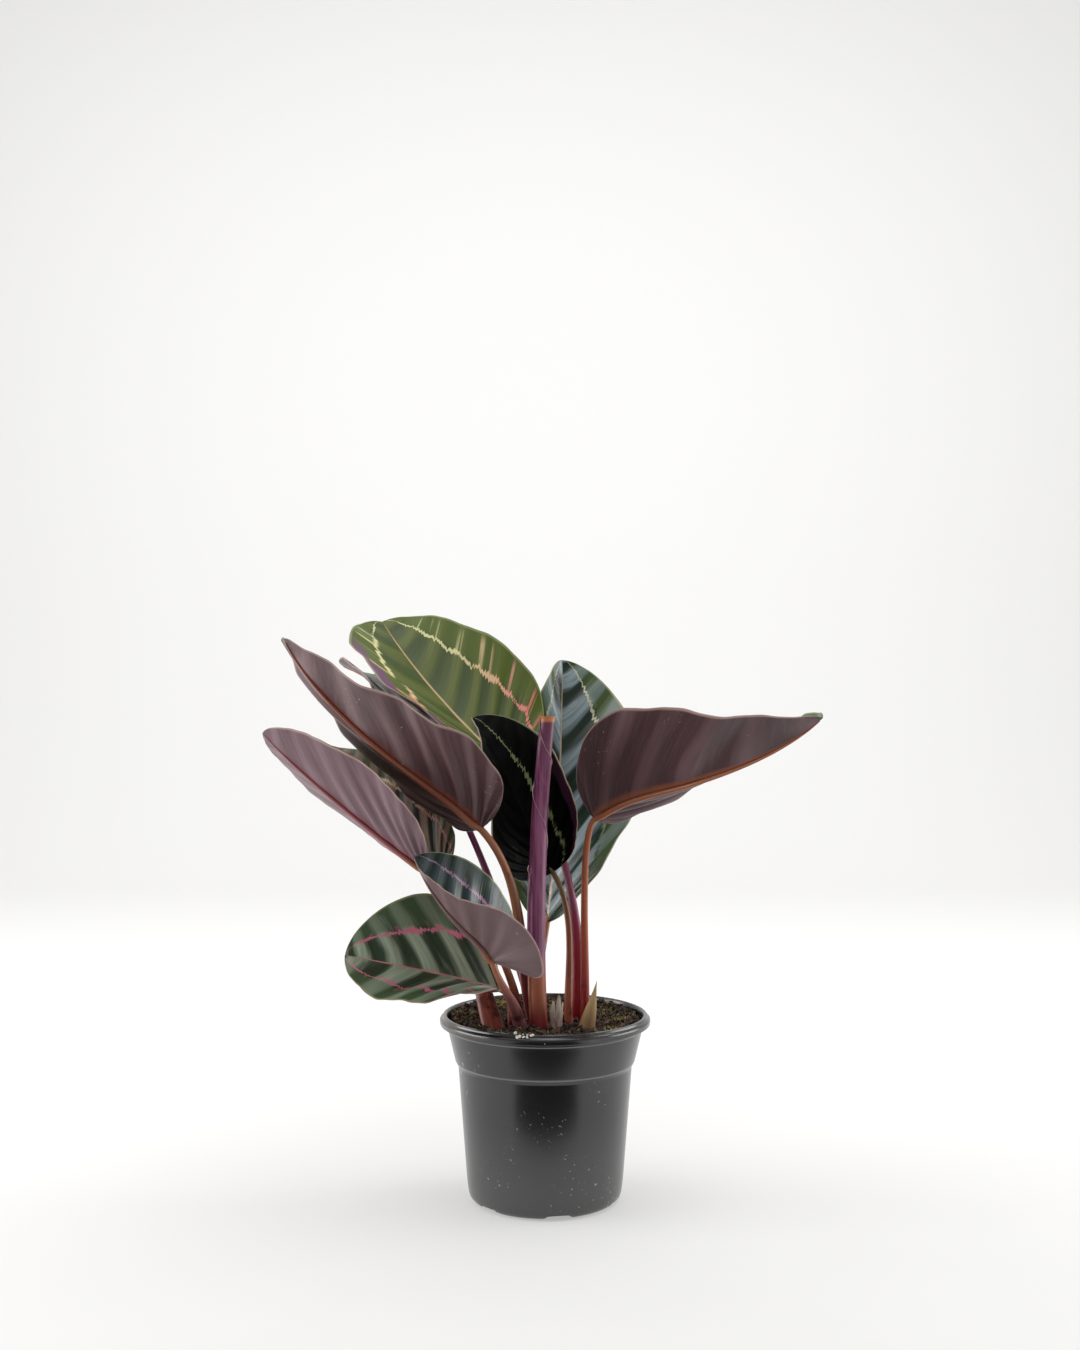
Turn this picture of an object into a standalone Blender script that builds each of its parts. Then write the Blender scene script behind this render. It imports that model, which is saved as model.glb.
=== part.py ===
"""A potted calathea, modelled piece by piece: a nursery pot, its soil, ten leaves and a rolled new leaf.

The pot stands on z = 0 with its axis on the Z axis. The script works in millimetres and degrees, and
turns them into Blender's metres in one place, where a mesh is made.

A leaf is one solid: a stalk that rises out of its own hole in the soil, and a blade carried on by the
stalk as its rib. A blade starts as a flat outline and is then bent: its rib droops, sweeps and twists
along its length, and each half folds up from the rib and curls towards its margin.
"""

import math
from dataclasses import dataclass

import bmesh
import bpy
import numpy as np

MM = 0.001
GAP = 0.3

# The pot: a tapered cup with a collar, a rolled rim and six drain channels under its floor.
POT_HEIGHT = 105.0
RIM_RADIUS = 60.0
COLLAR_TOP_RADIUS = 55.7
COLLAR_LOW_RADIUS = 51.2
COLLAR_LOW = 79.0
BODY_TOP_RADIUS = 49.5
BODY_LOW_RADIUS = 44.3
COLLAR_STEP = 3.0
WALL = 1.2
FLOOR = 4.2
FOOT_FILLET = 9.0
FOOT_STEPS = 5
CORNER_REACH = 4.0
CORNER_HEIGHT = 2.0
POT_SIDES = 48

# The rim, rolled over outwards: how far in from its radius and down from its top each point lies.
RIM_UNDERSIDE = ((4.3, 6.9), (2.7, 6.3), (1.0, 6.3))
RIM_OUTSIDE = ((0.0, 5.0), (0.0, 2.6), (1.2, 1.1), (2.4, 1.0))
RIM_CROWN = ((3.0, 0.0), (3.8, 0.2), (4.6, 2.2))
RIM_HEIGHT = 6.3

# Six arched channels run out under the floor, each with a round hole.
DRAIN_COUNT = 6
DRAIN_FIRST = -80.0
DRAIN_DEPTH = 3.0
DRAIN_WIDTH = 18.0
DRAIN_START = 15.0
DRAIN_NARROWS = (0.35, 0.8, 1.1)
DRAIN_ARCH_STEPS = 8
DRAIN_HOLE_RADIUS = 4.0
DRAIN_HOLE_AT = 28.0
DRAIN_HOLE_SIDES = 10
CUT_PAST = 2.0

# The soil: a plug that fills the pot to just under its rim, with a lumpy top.
SOIL_TOP = 99.0
SOIL_LUMP = 1.3
SOIL_RINGS = 5
SOIL_EDGE = 1.0
HOLE_DEPTH = 13.0
HOLE_ABOVE = 8.0
HOLE_EASE = 0.45
HOLE_SIDES = 12
STEM_SUNK = HOLE_DEPTH - 1.0

# Leaves.
BLADE_THICKNESS = 0.8
RIB_DEPTH = 1.1
BLADE_ROWS = 20
HALF_COLUMNS = 3
RIB_STEPS = 48
STALK_SIDES = 8
STALK_STEPS = 11
STALK_REACH = 0.16
STALK_MIDDLE = 0.45
STALK_SPRING = 0.35
SHEATHED = 0.7

# The outline of a blade: fuller near its base, drawn in at its tip, with side veins that lean forwards.
BASE_FULLNESS = 0.22
TIP_NARROWING = 0.12
VEIN_LAG = 1.4
VEIN_CURVE = 0.4


@dataclass
class Leaf:
    """One leaf's driving dimensions, in millimetres and degrees."""

    base: tuple            # where the stalk meets the blade
    heading: float         # which way the rib sets off, counted from +X towards +Y
    rise: float            # its slope above the horizontal there
    roll: float            # the blade's turn about its rib, left side up
    length: float          # along the rib
    halves: tuple          # widths of the left and right halves
    fold: tuple            # how far each half stands up from flat at the rib
    curl: tuple            # how much more it turns up on the way to its margin
    foot: tuple            # where the stalk leaves the soil, x and y
    lean: tuple            # the stalk's sideways travel per millimetre of height there
    stalk: tuple           # radius at the blade, half way and at the foot
    droop: float = 0.0     # bend of the rib over its whole length, tip falling back
    neck: float = 0.0      # more of that bend, in the first third only
    hook: float = 0.0      # and in the last stretch before the tip
    sweep: float = 0.0     # sideways bend, towards the left half
    twist: float = 0.0     # turn of the blade about its rib from base to tip
    lobe: float = 0.08     # how far the base of the outline reaches back past the stalk
    waves: float = 4.0     # soft folds along the blade
    wave: float = 1.2      # their height at the margin
    phase: float = 0.0     # where the first one starts
    flatness: float = 1.0  # width of the stalk's foot against its depth
    reach: float = 0.33    # how far down the stalk the bend into the rib begins


LEAVES = {
    "leaf_top_back": Leaf(
        base=(-20.5, 40, 241.6), heading=155, rise=38, roll=-9, length=152.1, halves=(55.4, 58.4),
        fold=(17, 15), curl=(14, 17), droop=9, neck=-2, hook=6, sweep=-30, twist=-25,
        foot=(19, 11), lean=(0.05, 0.0), stalk=(1.7, 2.2, 4.0), waves=5, wave=1.5, phase=60,
        flatness=1.3,
    ),
    "leaf_left_upper": Leaf(
        base=(-35.8, -27, 212.5), heading=194, rise=47, roll=33, length=158.4, halves=(45.7, 45.7),
        fold=(14, 10), curl=(7, 10), droop=-11, neck=19, hook=-14, sweep=17, twist=-29,
        foot=(-7, 4), lean=(-0.25, -0.12), stalk=(2.0, 2.6, 3.2), waves=5, wave=2.2, phase=0,
    ),
    "leaf_left_middle": Leaf(
        base=(-64.3, -34, 189.5), heading=170, rise=33, roll=34, length=122.6, halves=(42.2, 42.2),
        fold=(2, 14), curl=(16, 11), droop=-2, neck=-3, hook=-6, sweep=5, twist=11,
        foot=(-13, -10), lean=(-0.15, 0.0), stalk=(1.6, 1.9, 2.6), waves=4, wave=0.8,
    ),
    "leaf_left_back": Leaf(
        base=(-49, 28, 216), heading=138, rise=55, roll=4, length=139, halves=(44, 44),
        fold=(12, 4), curl=(10, 6), droop=38, neck=-7, hook=14, sweep=-5, twist=11, lobe=0.2,
        foot=(-6, 18), lean=(-0.3, 0.05), stalk=(1.8, 2.2, 3.0), waves=5, wave=1.2,
    ),
    "leaf_left_inner": Leaf(
        base=(-58.6, 15, 183.8), heading=165, rise=37, roll=-11, length=127.3, halves=(40.4, 39.4),
        fold=(16, 9), curl=(11, 15), droop=18, neck=-6, hook=3, sweep=-39, twist=-5, lobe=-0.05,
        foot=(-29, -14.5), lean=(-0.4, 1.1), stalk=(1.6, 2.4, 3.9), waves=5, wave=1.6,
        flatness=3.0,
        reach=0.12,
    ),
    "leaf_dark_center": Leaf(
        base=(4.6, 11.8, 183.6), heading=157, rise=56, roll=-43, length=102.3, halves=(42.1, 36.1),
        fold=(11, 50), curl=(18, 51), droop=12, neck=-15, hook=11, sweep=-7, twist=50, lobe=0.18,
        foot=(13.5, -1), lean=(-0.05, 0.05), stalk=(1.6, 1.8, 2.6), waves=4, wave=0.8,
    ),
    "leaf_upright": Leaf(
        base=(1.3, 48, 149), heading=71, rise=70, roll=-20, length=167, halves=(29, 59),
        fold=(15, 24), curl=(11, 12), droop=-9, neck=3, hook=0, sweep=7, twist=70, lobe=0.0,
        foot=(-5, 33), lean=(0.0, 0.1), stalk=(1.8, 2.0, 2.8), waves=6, wave=1.2,
        reach=0.1,
    ),
    "leaf_right": Leaf(
        base=(28, -8, 216), heading=-24, rise=37, roll=-48, length=163, halves=(46, 52),
        fold=(25, 29), curl=(10, 17), droop=-16, neck=35, hook=-14, sweep=0, twist=50,
        foot=(22.5, -5), lean=(0.02, 0.0), stalk=(1.7, 2.0, 2.9), reach=0.1, waves=5, wave=1.8, phase=40,
    ),
    "leaf_low_left": Leaf(
        base=(-25.8, -17, 121.8), heading=189, rise=18, roll=-23, length=88.6, halves=(39.8, 46.8),
        fold=(25, 7), curl=(22, 8), droop=3, neck=3, hook=-4, sweep=3, twist=-54,
        foot=(-19.3, -14), lean=(-0.05, -0.1), stalk=(1.6, 1.6, 1.8), waves=5, wave=1.2,
        flatness=1.0,
    ),
    "leaf_low_front": Leaf(
        base=(-28.6, -49.1, 142.3), heading=195, rise=71, roll=-5, length=73.7, halves=(32.2, 34.2),
        fold=(41, 35), curl=(25, 8), droop=-36, neck=39, hook=-1, sweep=-1, twist=-50,
        foot=(-13.5, -18), lean=(-0.2, 0.0), stalk=(1.7, 2.4, 3.3), waves=4, wave=0.8,
        lobe=1.07, flatness=1.6,
    ),
}

# The new leaf, still rolled into an upright quill.
ROLL_FOOT = (-3.5, -13.0)
ROLL_TOP = (1.6, -12.0, 274.6)
ROLL_BOW = -3.5
ROLL_RADIUS = (5.2, 4.9)
ROLL_STEP = 0.13
ROLL_TURNS = 0.6
ROLL_SIDES = 16
ROLL_ROWS = 16

# Two old leaf sheaths left at the foot of the stems.
TAN_SHEATH_AT = (23.0, -16.0)
TAN_SHEATH_HEIGHT = 28.0
TAN_SHEATH_RADIUS = 5.0
TAN_SHEATH_LEAN = (6.0, -1.0)
DRY_SHEATH_AT = (6.0, -15.0)
DRY_SHEATH_HEIGHT = 20.0
DRY_SHEATH_RADIUS = 3.6
SHEATH_THICKNESS = 0.8
SHEATH_SUNK = 8.0
SHEATH_WRAP = 80.0
SHEATH_ROWS = 5
TAN_SHEATH_TAPER = 0.55
TAN_SHEATH_COLUMNS = 7
DRY_SHEATH_FLARE = 0.15
DRY_SHEATH_LEAN = (0.5, -0.5)
DRY_SHEATH_COLUMNS = 9
DRY_SHEATH_TORN = 0.28

COLOURS = {
    "pot": ((0.055, 0.058, 0.062, 1.0), 0.38),
    "soil": ((0.035, 0.022, 0.014, 1.0), 0.95),
    "leaf": ((0.045, 0.090, 0.032, 1.0), 0.38),
    "roll": ((0.230, 0.060, 0.150, 1.0), 0.40),
    "tan_sheath": ((0.420, 0.270, 0.110, 1.0), 0.70),
    "dry_sheath": ((0.450, 0.330, 0.220, 1.0), 0.85),
}


# --------------------------------------------------------------------------- helpers

def clear_scene():
    """Remove every object that the file opened with."""
    for thing in list(bpy.data.objects):
        bpy.data.objects.remove(thing, do_unlink=True)


def material(name):
    """A plain Principled material from the colour table."""
    colour, roughness = COLOURS[name]
    made = bpy.data.materials.new(name)
    made.use_nodes = True
    shader = made.node_tree.nodes["Principled BSDF"]
    shader.inputs["Base Color"].default_value = colour
    shader.inputs["Roughness"].default_value = roughness
    shader.inputs["Metallic"].default_value = 0.0
    return made


def solid_from(name, points, faces, finish, smooth_angle=35.0):
    """Make an object from points in millimetres, with all its faces turned outwards."""
    mesh = bpy.data.meshes.new(name)
    mesh.from_pydata([tuple(np.asarray(p, float) * MM) for p in points], [], faces)
    work = bmesh.new()
    work.from_mesh(mesh)
    bmesh.ops.recalc_face_normals(work, faces=work.faces)
    work.to_mesh(mesh)
    work.free()
    mesh.shade_smooth()
    mesh.set_sharp_from_angle(angle=math.radians(smooth_angle))
    thing = bpy.data.objects.new(name, mesh)
    bpy.context.scene.collection.objects.link(thing)
    thing.data.materials.append(finish)
    return thing


def bake(thing, helpers):
    """Keep the object's evaluated mesh as its own, and drop its modifiers and their helpers."""
    depsgraph = bpy.context.evaluated_depsgraph_get()
    mesh = bpy.data.meshes.new_from_object(thing.evaluated_get(depsgraph))
    thing.modifiers.clear()
    thing.data = mesh
    for helper in helpers:
        bpy.data.objects.remove(helper, do_unlink=True)


def combine(thing, helpers, operation):
    """Union the helpers with the object, or cut them out of it, one after another."""
    for helper in helpers:
        step = thing.modifiers.new(helper.name, "BOOLEAN")
        step.operation = operation
        step.solver = "EXACT"
        step.object = helper
    bake(thing, helpers)


def tube_faces(rows, sides):
    """Faces of a closed tube: quads between its rings, and a fan over each end."""
    faces = []
    for row in range(rows - 1):
        for side in range(sides):
            after = (side + 1) % sides
            low, high = row * sides, (row + 1) * sides
            faces.append((low + side, low + after, high + after, high + side))
    first, last = rows * sides, rows * sides + 1
    top = (rows - 1) * sides
    for side in range(sides):
        after = (side + 1) % sides
        faces.append((first, after, side))
        faces.append((last, top + side, top + after))
    return faces


def tube_points(centers, radii, sides, flatness=None):
    """Rings of points about a path; flatness widens a ring along X against its depth."""
    centers = np.asarray(centers, float)
    runs = np.gradient(centers, axis=0)
    runs /= np.linalg.norm(runs, axis=1)[:, None]
    across = np.array([1.0, 0.0, 0.0])
    flatness = np.ones(len(centers)) if flatness is None else flatness
    angles = np.linspace(0.0, 2.0 * np.pi, sides, endpoint=False)
    points = []
    for center, run, radius, flat in zip(centers, runs, radii, flatness):
        across = across - run * np.dot(across, run)
        across = across / np.linalg.norm(across)
        deep = np.cross(run, across)
        for angle in angles:
            wide = across * math.cos(angle) * math.sqrt(flat)
            thick = deep * math.sin(angle) / math.sqrt(flat)
            points.append(center + radius * (wide + thick))
    points.append(centers[0])
    points.append(centers[-1])
    return points


# --------------------------------------------------------------------------- the pot

def arc(center, radius, start, stop, steps):
    """Points of an arc in the plane of radius and height, angles in degrees."""
    angles = [math.radians(start + (stop - start) * i / steps) for i in range(steps + 1)]
    return [(center[0] + radius * math.cos(a), center[1] + radius * math.sin(a)) for a in angles]


def rim_points(pairs):
    """Points of the rim from their distances in from its radius and down from its top."""
    return [(RIM_RADIUS - inset, POT_HEIGHT - drop) for inset, drop in pairs]


def pot_outside():
    """The outer profile, from the edge of the foot up to the inner edge of the rim."""
    foot = arc((BODY_LOW_RADIUS - FOOT_FILLET, FOOT_FILLET), FOOT_FILLET, -90.0, -6.0, FOOT_STEPS)
    step = [(BODY_TOP_RADIUS, COLLAR_LOW - COLLAR_STEP), (COLLAR_LOW_RADIUS, COLLAR_LOW)]
    return foot + step + rim_points(RIM_UNDERSIDE + RIM_OUTSIDE + RIM_CROWN)


def wall_inside(ease):
    """The inner wall from top to floor, drawn in by a clearance for what fills it."""
    inset = WALL + ease
    floor = FLOOR + ease
    low = BODY_LOW_RADIUS - inset
    top = [(COLLAR_TOP_RADIUS - inset, POT_HEIGHT - RIM_HEIGHT)]
    step = [(COLLAR_LOW_RADIUS - inset, COLLAR_LOW), (BODY_TOP_RADIUS - inset, COLLAR_LOW - COLLAR_STEP)]
    corner = [(low - CORNER_REACH * 0.4, floor + CORNER_HEIGHT), (low - CORNER_REACH, floor)]
    return top + step + [(low, FOOT_FILLET + COLLAR_STEP)] + corner


def turned(name, profile, sides, finish):
    """A solid turned about Z from a profile of radius and height, closed on the axis at both ends."""
    rings = len(profile)
    points = []
    for radius, height in profile:
        for i in range(sides):
            angle = 2.0 * math.pi * i / sides
            points.append((radius * math.cos(angle), radius * math.sin(angle), height))
    points.append((0.0, 0.0, profile[0][1]))
    points.append((0.0, 0.0, profile[-1][1]))
    return solid_from(name, points, tube_faces(rings, sides), finish)


def drain_place(index, out, side, height):
    """A point of a channel from its distance out from the axis, its place across and its height."""
    turn = math.radians(DRAIN_FIRST + index * 360.0 / DRAIN_COUNT)
    x = out * math.cos(turn) - side * math.sin(turn)
    y = out * math.sin(turn) + side * math.cos(turn)
    return x, y, height


def drain_channel(index):
    """A cutter: an arched radial groove that runs out through the foot of the pot."""
    half = DRAIN_WIDTH / 2.0
    spread = [half * (2.0 * i / DRAIN_ARCH_STEPS - 1.0) for i in range(DRAIN_ARCH_STEPS + 1)]
    arch = [(-half, -CUT_PAST)]
    arch += [(across, DRAIN_DEPTH * (1.0 - (across / half) ** 4)) for across in spread]
    arch += [(half, -CUT_PAST)]
    reaches = (DRAIN_START, DRAIN_HOLE_AT, BODY_LOW_RADIUS + 3.0 * CUT_PAST)
    points = []
    for out, narrow in zip(reaches, DRAIN_NARROWS):
        points += [drain_place(index, out, across * narrow, height) for across, height in arch]
    count = len(arch)
    faces = [tuple(range(count)), tuple(range(2 * count, 3 * count))]
    for row in (0, count):
        for i in range(count):
            after = (i + 1) % count
            faces.append((row + i, row + after, row + count + after, row + count + i))
    return solid_from(f"drain_channel_{index}", points, faces, bpy.data.materials["pot"])


def drain_hole(index):
    """A cutter: a round hole through the floor at the end of a channel."""
    centers = [drain_place(index, DRAIN_HOLE_AT, 0.0, height) for height in (0.5, FLOOR + CUT_PAST)]
    points = tube_points(centers, [DRAIN_HOLE_RADIUS] * 2, DRAIN_HOLE_SIDES)
    faces = tube_faces(2, DRAIN_HOLE_SIDES)
    return solid_from(f"drain_hole_{index}", points, faces, bpy.data.materials["pot"])


def make_pot():
    """The thin-walled cup, turned in one piece, with its channels and drain holes cut."""
    pot = turned("pot", pot_outside() + wall_inside(0.0), POT_SIDES, material("pot"))
    cutters = [drain_channel(i) for i in range(DRAIN_COUNT)]
    cutters += [drain_hole(i) for i in range(DRAIN_COUNT)]
    combine(pot, cutters, "DIFFERENCE")
    return pot


# --------------------------------------------------------------------------- blades

def rotated(vector, axis, angle):
    """A vector turned about an axis, angle in radians."""
    cosine, sine = math.cos(angle), math.sin(angle)
    return vector * cosine + np.cross(axis, vector) * sine + axis * np.dot(axis, vector) * (1.0 - cosine)


def rib_line(leaf):
    """Walk along the rib and carry its frame: points, directions and upper-face normals."""
    heading, rise = math.radians(leaf.heading), math.radians(leaf.rise)
    run = np.array([math.cos(heading) * math.cos(rise), math.sin(heading) * math.cos(rise), math.sin(rise)])
    up = np.array([-math.cos(heading) * math.sin(rise), -math.sin(heading) * math.sin(rise), math.cos(rise)])
    up = rotated(up, run, math.radians(leaf.roll))
    place = np.array(leaf.base, float)
    places, runs, ups = [place], [run], [up]

    def bend(along):
        early = 1.0 - (1.0 - min(3.0 * along, 1.0)) ** 2
        return leaf.droop * along + leaf.hook * along ** 5 + leaf.neck * early

    for i in range(RIB_STEPS):
        here, there = i / RIB_STEPS, (i + 1) / RIB_STEPS
        left = np.cross(up, run)
        fall = math.radians(bend(there) - bend(here))
        new_run, up = rotated(run, left, fall), rotated(up, left, fall)
        new_run = rotated(new_run, up, math.radians(leaf.sweep / RIB_STEPS))
        up = rotated(up, new_run, math.radians(leaf.twist / RIB_STEPS))
        up = up - new_run * np.dot(new_run, up)
        up /= np.linalg.norm(up)
        place = place + (run + new_run) / 2.0 * leaf.length / RIB_STEPS
        run = new_run
        places.append(place)
        runs.append(run)
        ups.append(up)
    return np.array(places), np.array(runs), np.array(ups)


def flat_point(leaf, width, turn, out):
    """A point of the flat half blade: turn runs 0 to pi round the margin, out 0 to 1 from the rib.

    A line of constant turn is a side vein: it leaves the rib nearer the base than it meets the margin.
    """
    share = (1.0 - np.cos(turn)) / 2.0
    back = leaf.lobe * np.sin(turn) ** 2 * (1.0 - turn / np.pi) ** 3
    margin_x = leaf.length * (share - back)
    fullness = (1.0 + BASE_FULLNESS * np.cos(turn)) * (1.0 - TIP_NARROWING * (turn / np.pi) ** 6)
    margin_y = width * np.sin(turn) * fullness
    start = leaf.length * share ** VEIN_LAG
    return start + (margin_x - start) * out ** (1.0 + VEIN_CURVE * share), margin_y * out


def half_blade(leaf, rib, side, turn, out):
    """Points and upper-face normals of one half, side +1 for the left.

    The flat outline is carried by the rib's frame, folded up at the rib and curled towards its margin,
    and soft folds that grow towards the margin run along its side veins.
    """
    width, fold, curl = (pair[0 if side > 0 else 1] for pair in (leaf.halves, leaf.fold, leaf.curl))
    x, y = flat_point(leaf, width, turn, out)
    spot = x / leaf.length * RIB_STEPS
    low = np.clip(np.floor(spot).astype(int), 0, RIB_STEPS - 1)
    share = (spot - low)[..., None]
    place, run, up = (line[low] * (1.0 - share) + line[low + 1] * share for line in rib)
    across = np.cross(up, run) * side
    bend = math.radians(max(curl, 0.01)) / width
    start = math.radians(fold)
    angle = start + bend * y
    wide = (np.sin(angle) - math.sin(start)) / bend
    high = (math.cos(start) - np.cos(angle)) / bend
    wave = leaf.wave * np.cos(2.0 * leaf.waves * turn + math.radians(leaf.phase)) * out * np.sin(turn)
    normal = up * np.cos(angle)[..., None] - across * np.sin(angle)[..., None]
    return place + across * wide[..., None] + up * high[..., None] + normal * wave[..., None], normal


def blade_grid(leaf):
    """The blade's middle surface and its normals: rows from base to tip, columns from left to right."""
    rib = rib_line(leaf)
    turn = np.linspace(0.0, np.pi, BLADE_ROWS + 1)
    out = np.linspace(0.0, 1.0, HALF_COLUMNS + 1)
    turns, outs = np.meshgrid(turn, out, indexing="ij")
    left = half_blade(leaf, rib, 1.0, turns, outs)
    right = half_blade(leaf, rib, -1.0, turns, outs)
    grid, normals = (np.concatenate([l[:, ::-1], r[:, 1:]], axis=1) for l, r in zip(left, right))
    normals[:, HALF_COLUMNS] = left[1][:, 0] + right[1][:, 0]
    normals[0] = normals[0, HALF_COLUMNS]
    normals[-1] = normals[-1, HALF_COLUMNS]
    return grid, normals / np.linalg.norm(normals, axis=2)[..., None]


def blade_solid(name, leaf, finish):
    """A thin closed blade: both faces share one pattern of triangles, with a band round the margin."""
    grid, normals = blade_grid(leaf)
    rows, columns = grid.shape[:2]
    upper = grid + normals * BLADE_THICKNESS / 2.0
    lower = grid - normals * BLADE_THICKNESS / 2.0
    keel = RIB_DEPTH * np.linspace(1.0, 0.1, rows)[:, None]
    lower[:, HALF_COLUMNS] -= normals[:, HALF_COLUMNS] * keel

    def number(row, column, under):
        """Vertex number; each end row is one point."""
        face = 2 + (rows - 2) * columns
        if row == 0:
            return under * face
        if row == rows - 1:
            return under * face + face - 1
        return under * face + 1 + (row - 1) * columns + column

    points = []
    for sheet in (upper, lower):
        points.append(sheet[0].mean(axis=0))
        points.extend(sheet[1:-1].reshape(-1, 3))
        points.append(sheet[-1].mean(axis=0))

    faces = []
    for under in (0, 1):
        for row in range(rows - 1):
            for column in range(columns - 1):
                a, b = number(row, column, under), number(row, column + 1, under)
                c, d = number(row + 1, column + 1, under), number(row + 1, column, under)
                faces += [face for face in ((a, b, c), (a, c, d)) if len(set(face)) == 3]
    for row in range(rows - 1):
        for column in (0, columns - 1):
            a, b = number(row, column, 0), number(row + 1, column, 0)
            c, d = number(row + 1, column, 1), number(row, column, 1)
            faces += [(a, b, c), (a, c, d)]
    return solid_from(name, points, faces, finish)


# --------------------------------------------------------------------------- stalks

def foot_line(leaf):
    """The stalk's point at the soil's surface and its direction there."""
    way = np.array([leaf.lean[0], leaf.lean[1], 1.0])
    return np.array([leaf.foot[0], leaf.foot[1], SOIL_TOP]), way / np.linalg.norm(way)


def stalk_path(leaf):
    """Centre line, radii and flatness: from below the soil up to the blade, and on under its rib."""
    start, way = foot_line(leaf)
    places, runs, ups = rib_line(leaf)
    base, run = places[0], runs[0]
    chord = np.linalg.norm(base - start)
    handles = [start, start + way * chord * STALK_SPRING, base - run * chord * leaf.reach, base]
    share = np.linspace(0.0, 1.0, STALK_STEPS + 1)[:, None]
    weights = [(1 - share) ** 3, 3 * (1 - share) ** 2 * share, 3 * (1 - share) * share ** 2, share ** 3]
    rise = sum(weight * point for weight, point in zip(weights, handles))
    top, middle, foot = leaf.stalk
    radii = np.interp(share[:, 0], [0.0, STALK_MIDDLE, 1.0], [foot, middle, top])
    sunk = start - way * STEM_SUNK
    joined = [int(RIB_STEPS * STALK_REACH * part) for part in (0.5, 1.0)]
    under = [places[i] - ups[i] * top * 0.5 for i in joined]
    centers = np.vstack([[sunk], rise[:-1], [base - ups[0] * top * 0.35], under])
    radii = np.concatenate([[foot], radii, [top * 0.75, top * 0.4]])
    steps = [0, 1, STALK_STEPS * SHEATHED]
    flatness = np.interp(np.arange(len(centers)), steps, [leaf.flatness, leaf.flatness, 1.0])
    return centers, radii, flatness


def make_leaf(name, leaf):
    """One leaf: its blade and its stalk joined in a single solid."""
    finish = material("leaf")
    finish.name = name
    blade = blade_solid(name, leaf, finish)
    centers, radii, flatness = stalk_path(leaf)
    points = tube_points(centers, radii, STALK_SIDES, flatness)
    stalk = solid_from(f"{name}_stalk", points, tube_faces(len(centers), STALK_SIDES), finish)
    combine(blade, [stalk], "UNION")
    return blade


def roll_center(share):
    """A point of the quill's slightly bowed centre line, share 0 at the soil and 1 at its top."""
    foot, top = np.array([*ROLL_FOOT, SOIL_TOP]), np.array(ROLL_TOP)
    return foot + (top - foot) * share + np.array([ROLL_BOW * 4.0 * share * (1.0 - share), 0.0, 0.0])


def make_roll():
    """The rolled leaf: a slim quill whose outer edge shows as a step that winds up its side."""
    sunk = -STEM_SUNK / (ROLL_TOP[2] - SOIL_TOP)
    share = np.linspace(sunk, 1.0, ROLL_ROWS + 1)
    centers = np.array([roll_center(part) for part in share])
    radii = np.interp(share, [0.0, 1.0], ROLL_RADIUS)
    points = []
    for center, radius, along in zip(centers, radii, share):
        for i in range(ROLL_SIDES):
            around = i / ROLL_SIDES
            angle = 2.0 * math.pi * (around + ROLL_TURNS * along) - math.pi / 2.0
            reach = radius * (1.0 + ROLL_STEP * (around - 0.5))
            points.append(center + reach * np.array([math.cos(angle), math.sin(angle), 0.0]))
    points += [centers[0], centers[-1]]
    return solid_from("leaf_rolled", points, tube_faces(ROLL_ROWS + 1, ROLL_SIDES), material("roll"))


# --------------------------------------------------------------------------- old sheaths

def sheath_solid(name, center, heights, radius_at, lean, finish):
    """A curved shard of old sheath: a strip bent round the stems, its top edge cut by heights."""
    columns, rows = len(heights), SHEATH_ROWS
    bottom = SOIL_TOP - SHEATH_SUNK
    points = []
    for depth in (0.0, SHEATH_THICKNESS):
        for row in range(rows):
            for column in range(columns):
                share = row / (rows - 1)
                height = bottom + (SHEATH_SUNK + heights[column]) * share
                above = max(height - SOIL_TOP, 0.0) / max(heights)
                angle = math.radians(-90.0 + SHEATH_WRAP * (2.0 * column / (columns - 1) - 1.0))
                radius = radius_at(above) - depth
                x = center[0] + radius * math.cos(angle) + lean[0] * above
                y = center[1] + radius * math.sin(angle) + lean[1] * above
                points.append((x, y, height))
    face = rows * columns
    faces = []
    for row in range(rows - 1):
        for column in range(columns - 1):
            a = row * columns + column
            b, c, d = a + 1, a + columns + 1, a + columns
            faces += [(a, b, c), (a, c, d), (a + face, b + face, c + face), (a + face, c + face, d + face)]
    rim = list(range(columns))
    rim += [row * columns + columns - 1 for row in range(1, rows)]
    rim += [(rows - 1) * columns + column for column in range(columns - 2, -1, -1)]
    rim += [row * columns for row in range(rows - 2, 0, -1)]
    for i, here in enumerate(rim):
        there = rim[(i + 1) % len(rim)]
        faces += [(here, there, there + face), (here, there + face, here + face)]
    return solid_from(name, points, faces, finish)


def pointed_height(column):
    """The tan sheath's top edge: a point in the middle that falls away to both sides."""
    away = abs(2.0 * column / (TAN_SHEATH_COLUMNS - 1) - 1.0)
    return TAN_SHEATH_HEIGHT * (1.0 - 0.8 * away ** 1.5)


def torn_height(column):
    """The dry sheath's top edge: uneven teeth, by a rule that jumps about."""
    return DRY_SHEATH_HEIGHT * (1.0 - DRY_SHEATH_TORN * (1.0 - (column * 5 % 7) / 6.0))


def make_sheaths():
    """The tan pointed sheath and the dry torn one."""
    sheath_solid(
        "sheath_tan", TAN_SHEATH_AT, [pointed_height(i) for i in range(TAN_SHEATH_COLUMNS)],
        lambda above: TAN_SHEATH_RADIUS * (1.0 - TAN_SHEATH_TAPER * above), TAN_SHEATH_LEAN,
        material("tan_sheath"),
    )
    sheath_solid(
        "sheath_dry", DRY_SHEATH_AT, [torn_height(i) for i in range(DRY_SHEATH_COLUMNS)],
        lambda above: DRY_SHEATH_RADIUS * (1.0 + DRY_SHEATH_FLARE * above), DRY_SHEATH_LEAN,
        material("dry_sheath"),
    )


# --------------------------------------------------------------------------- the soil

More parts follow.
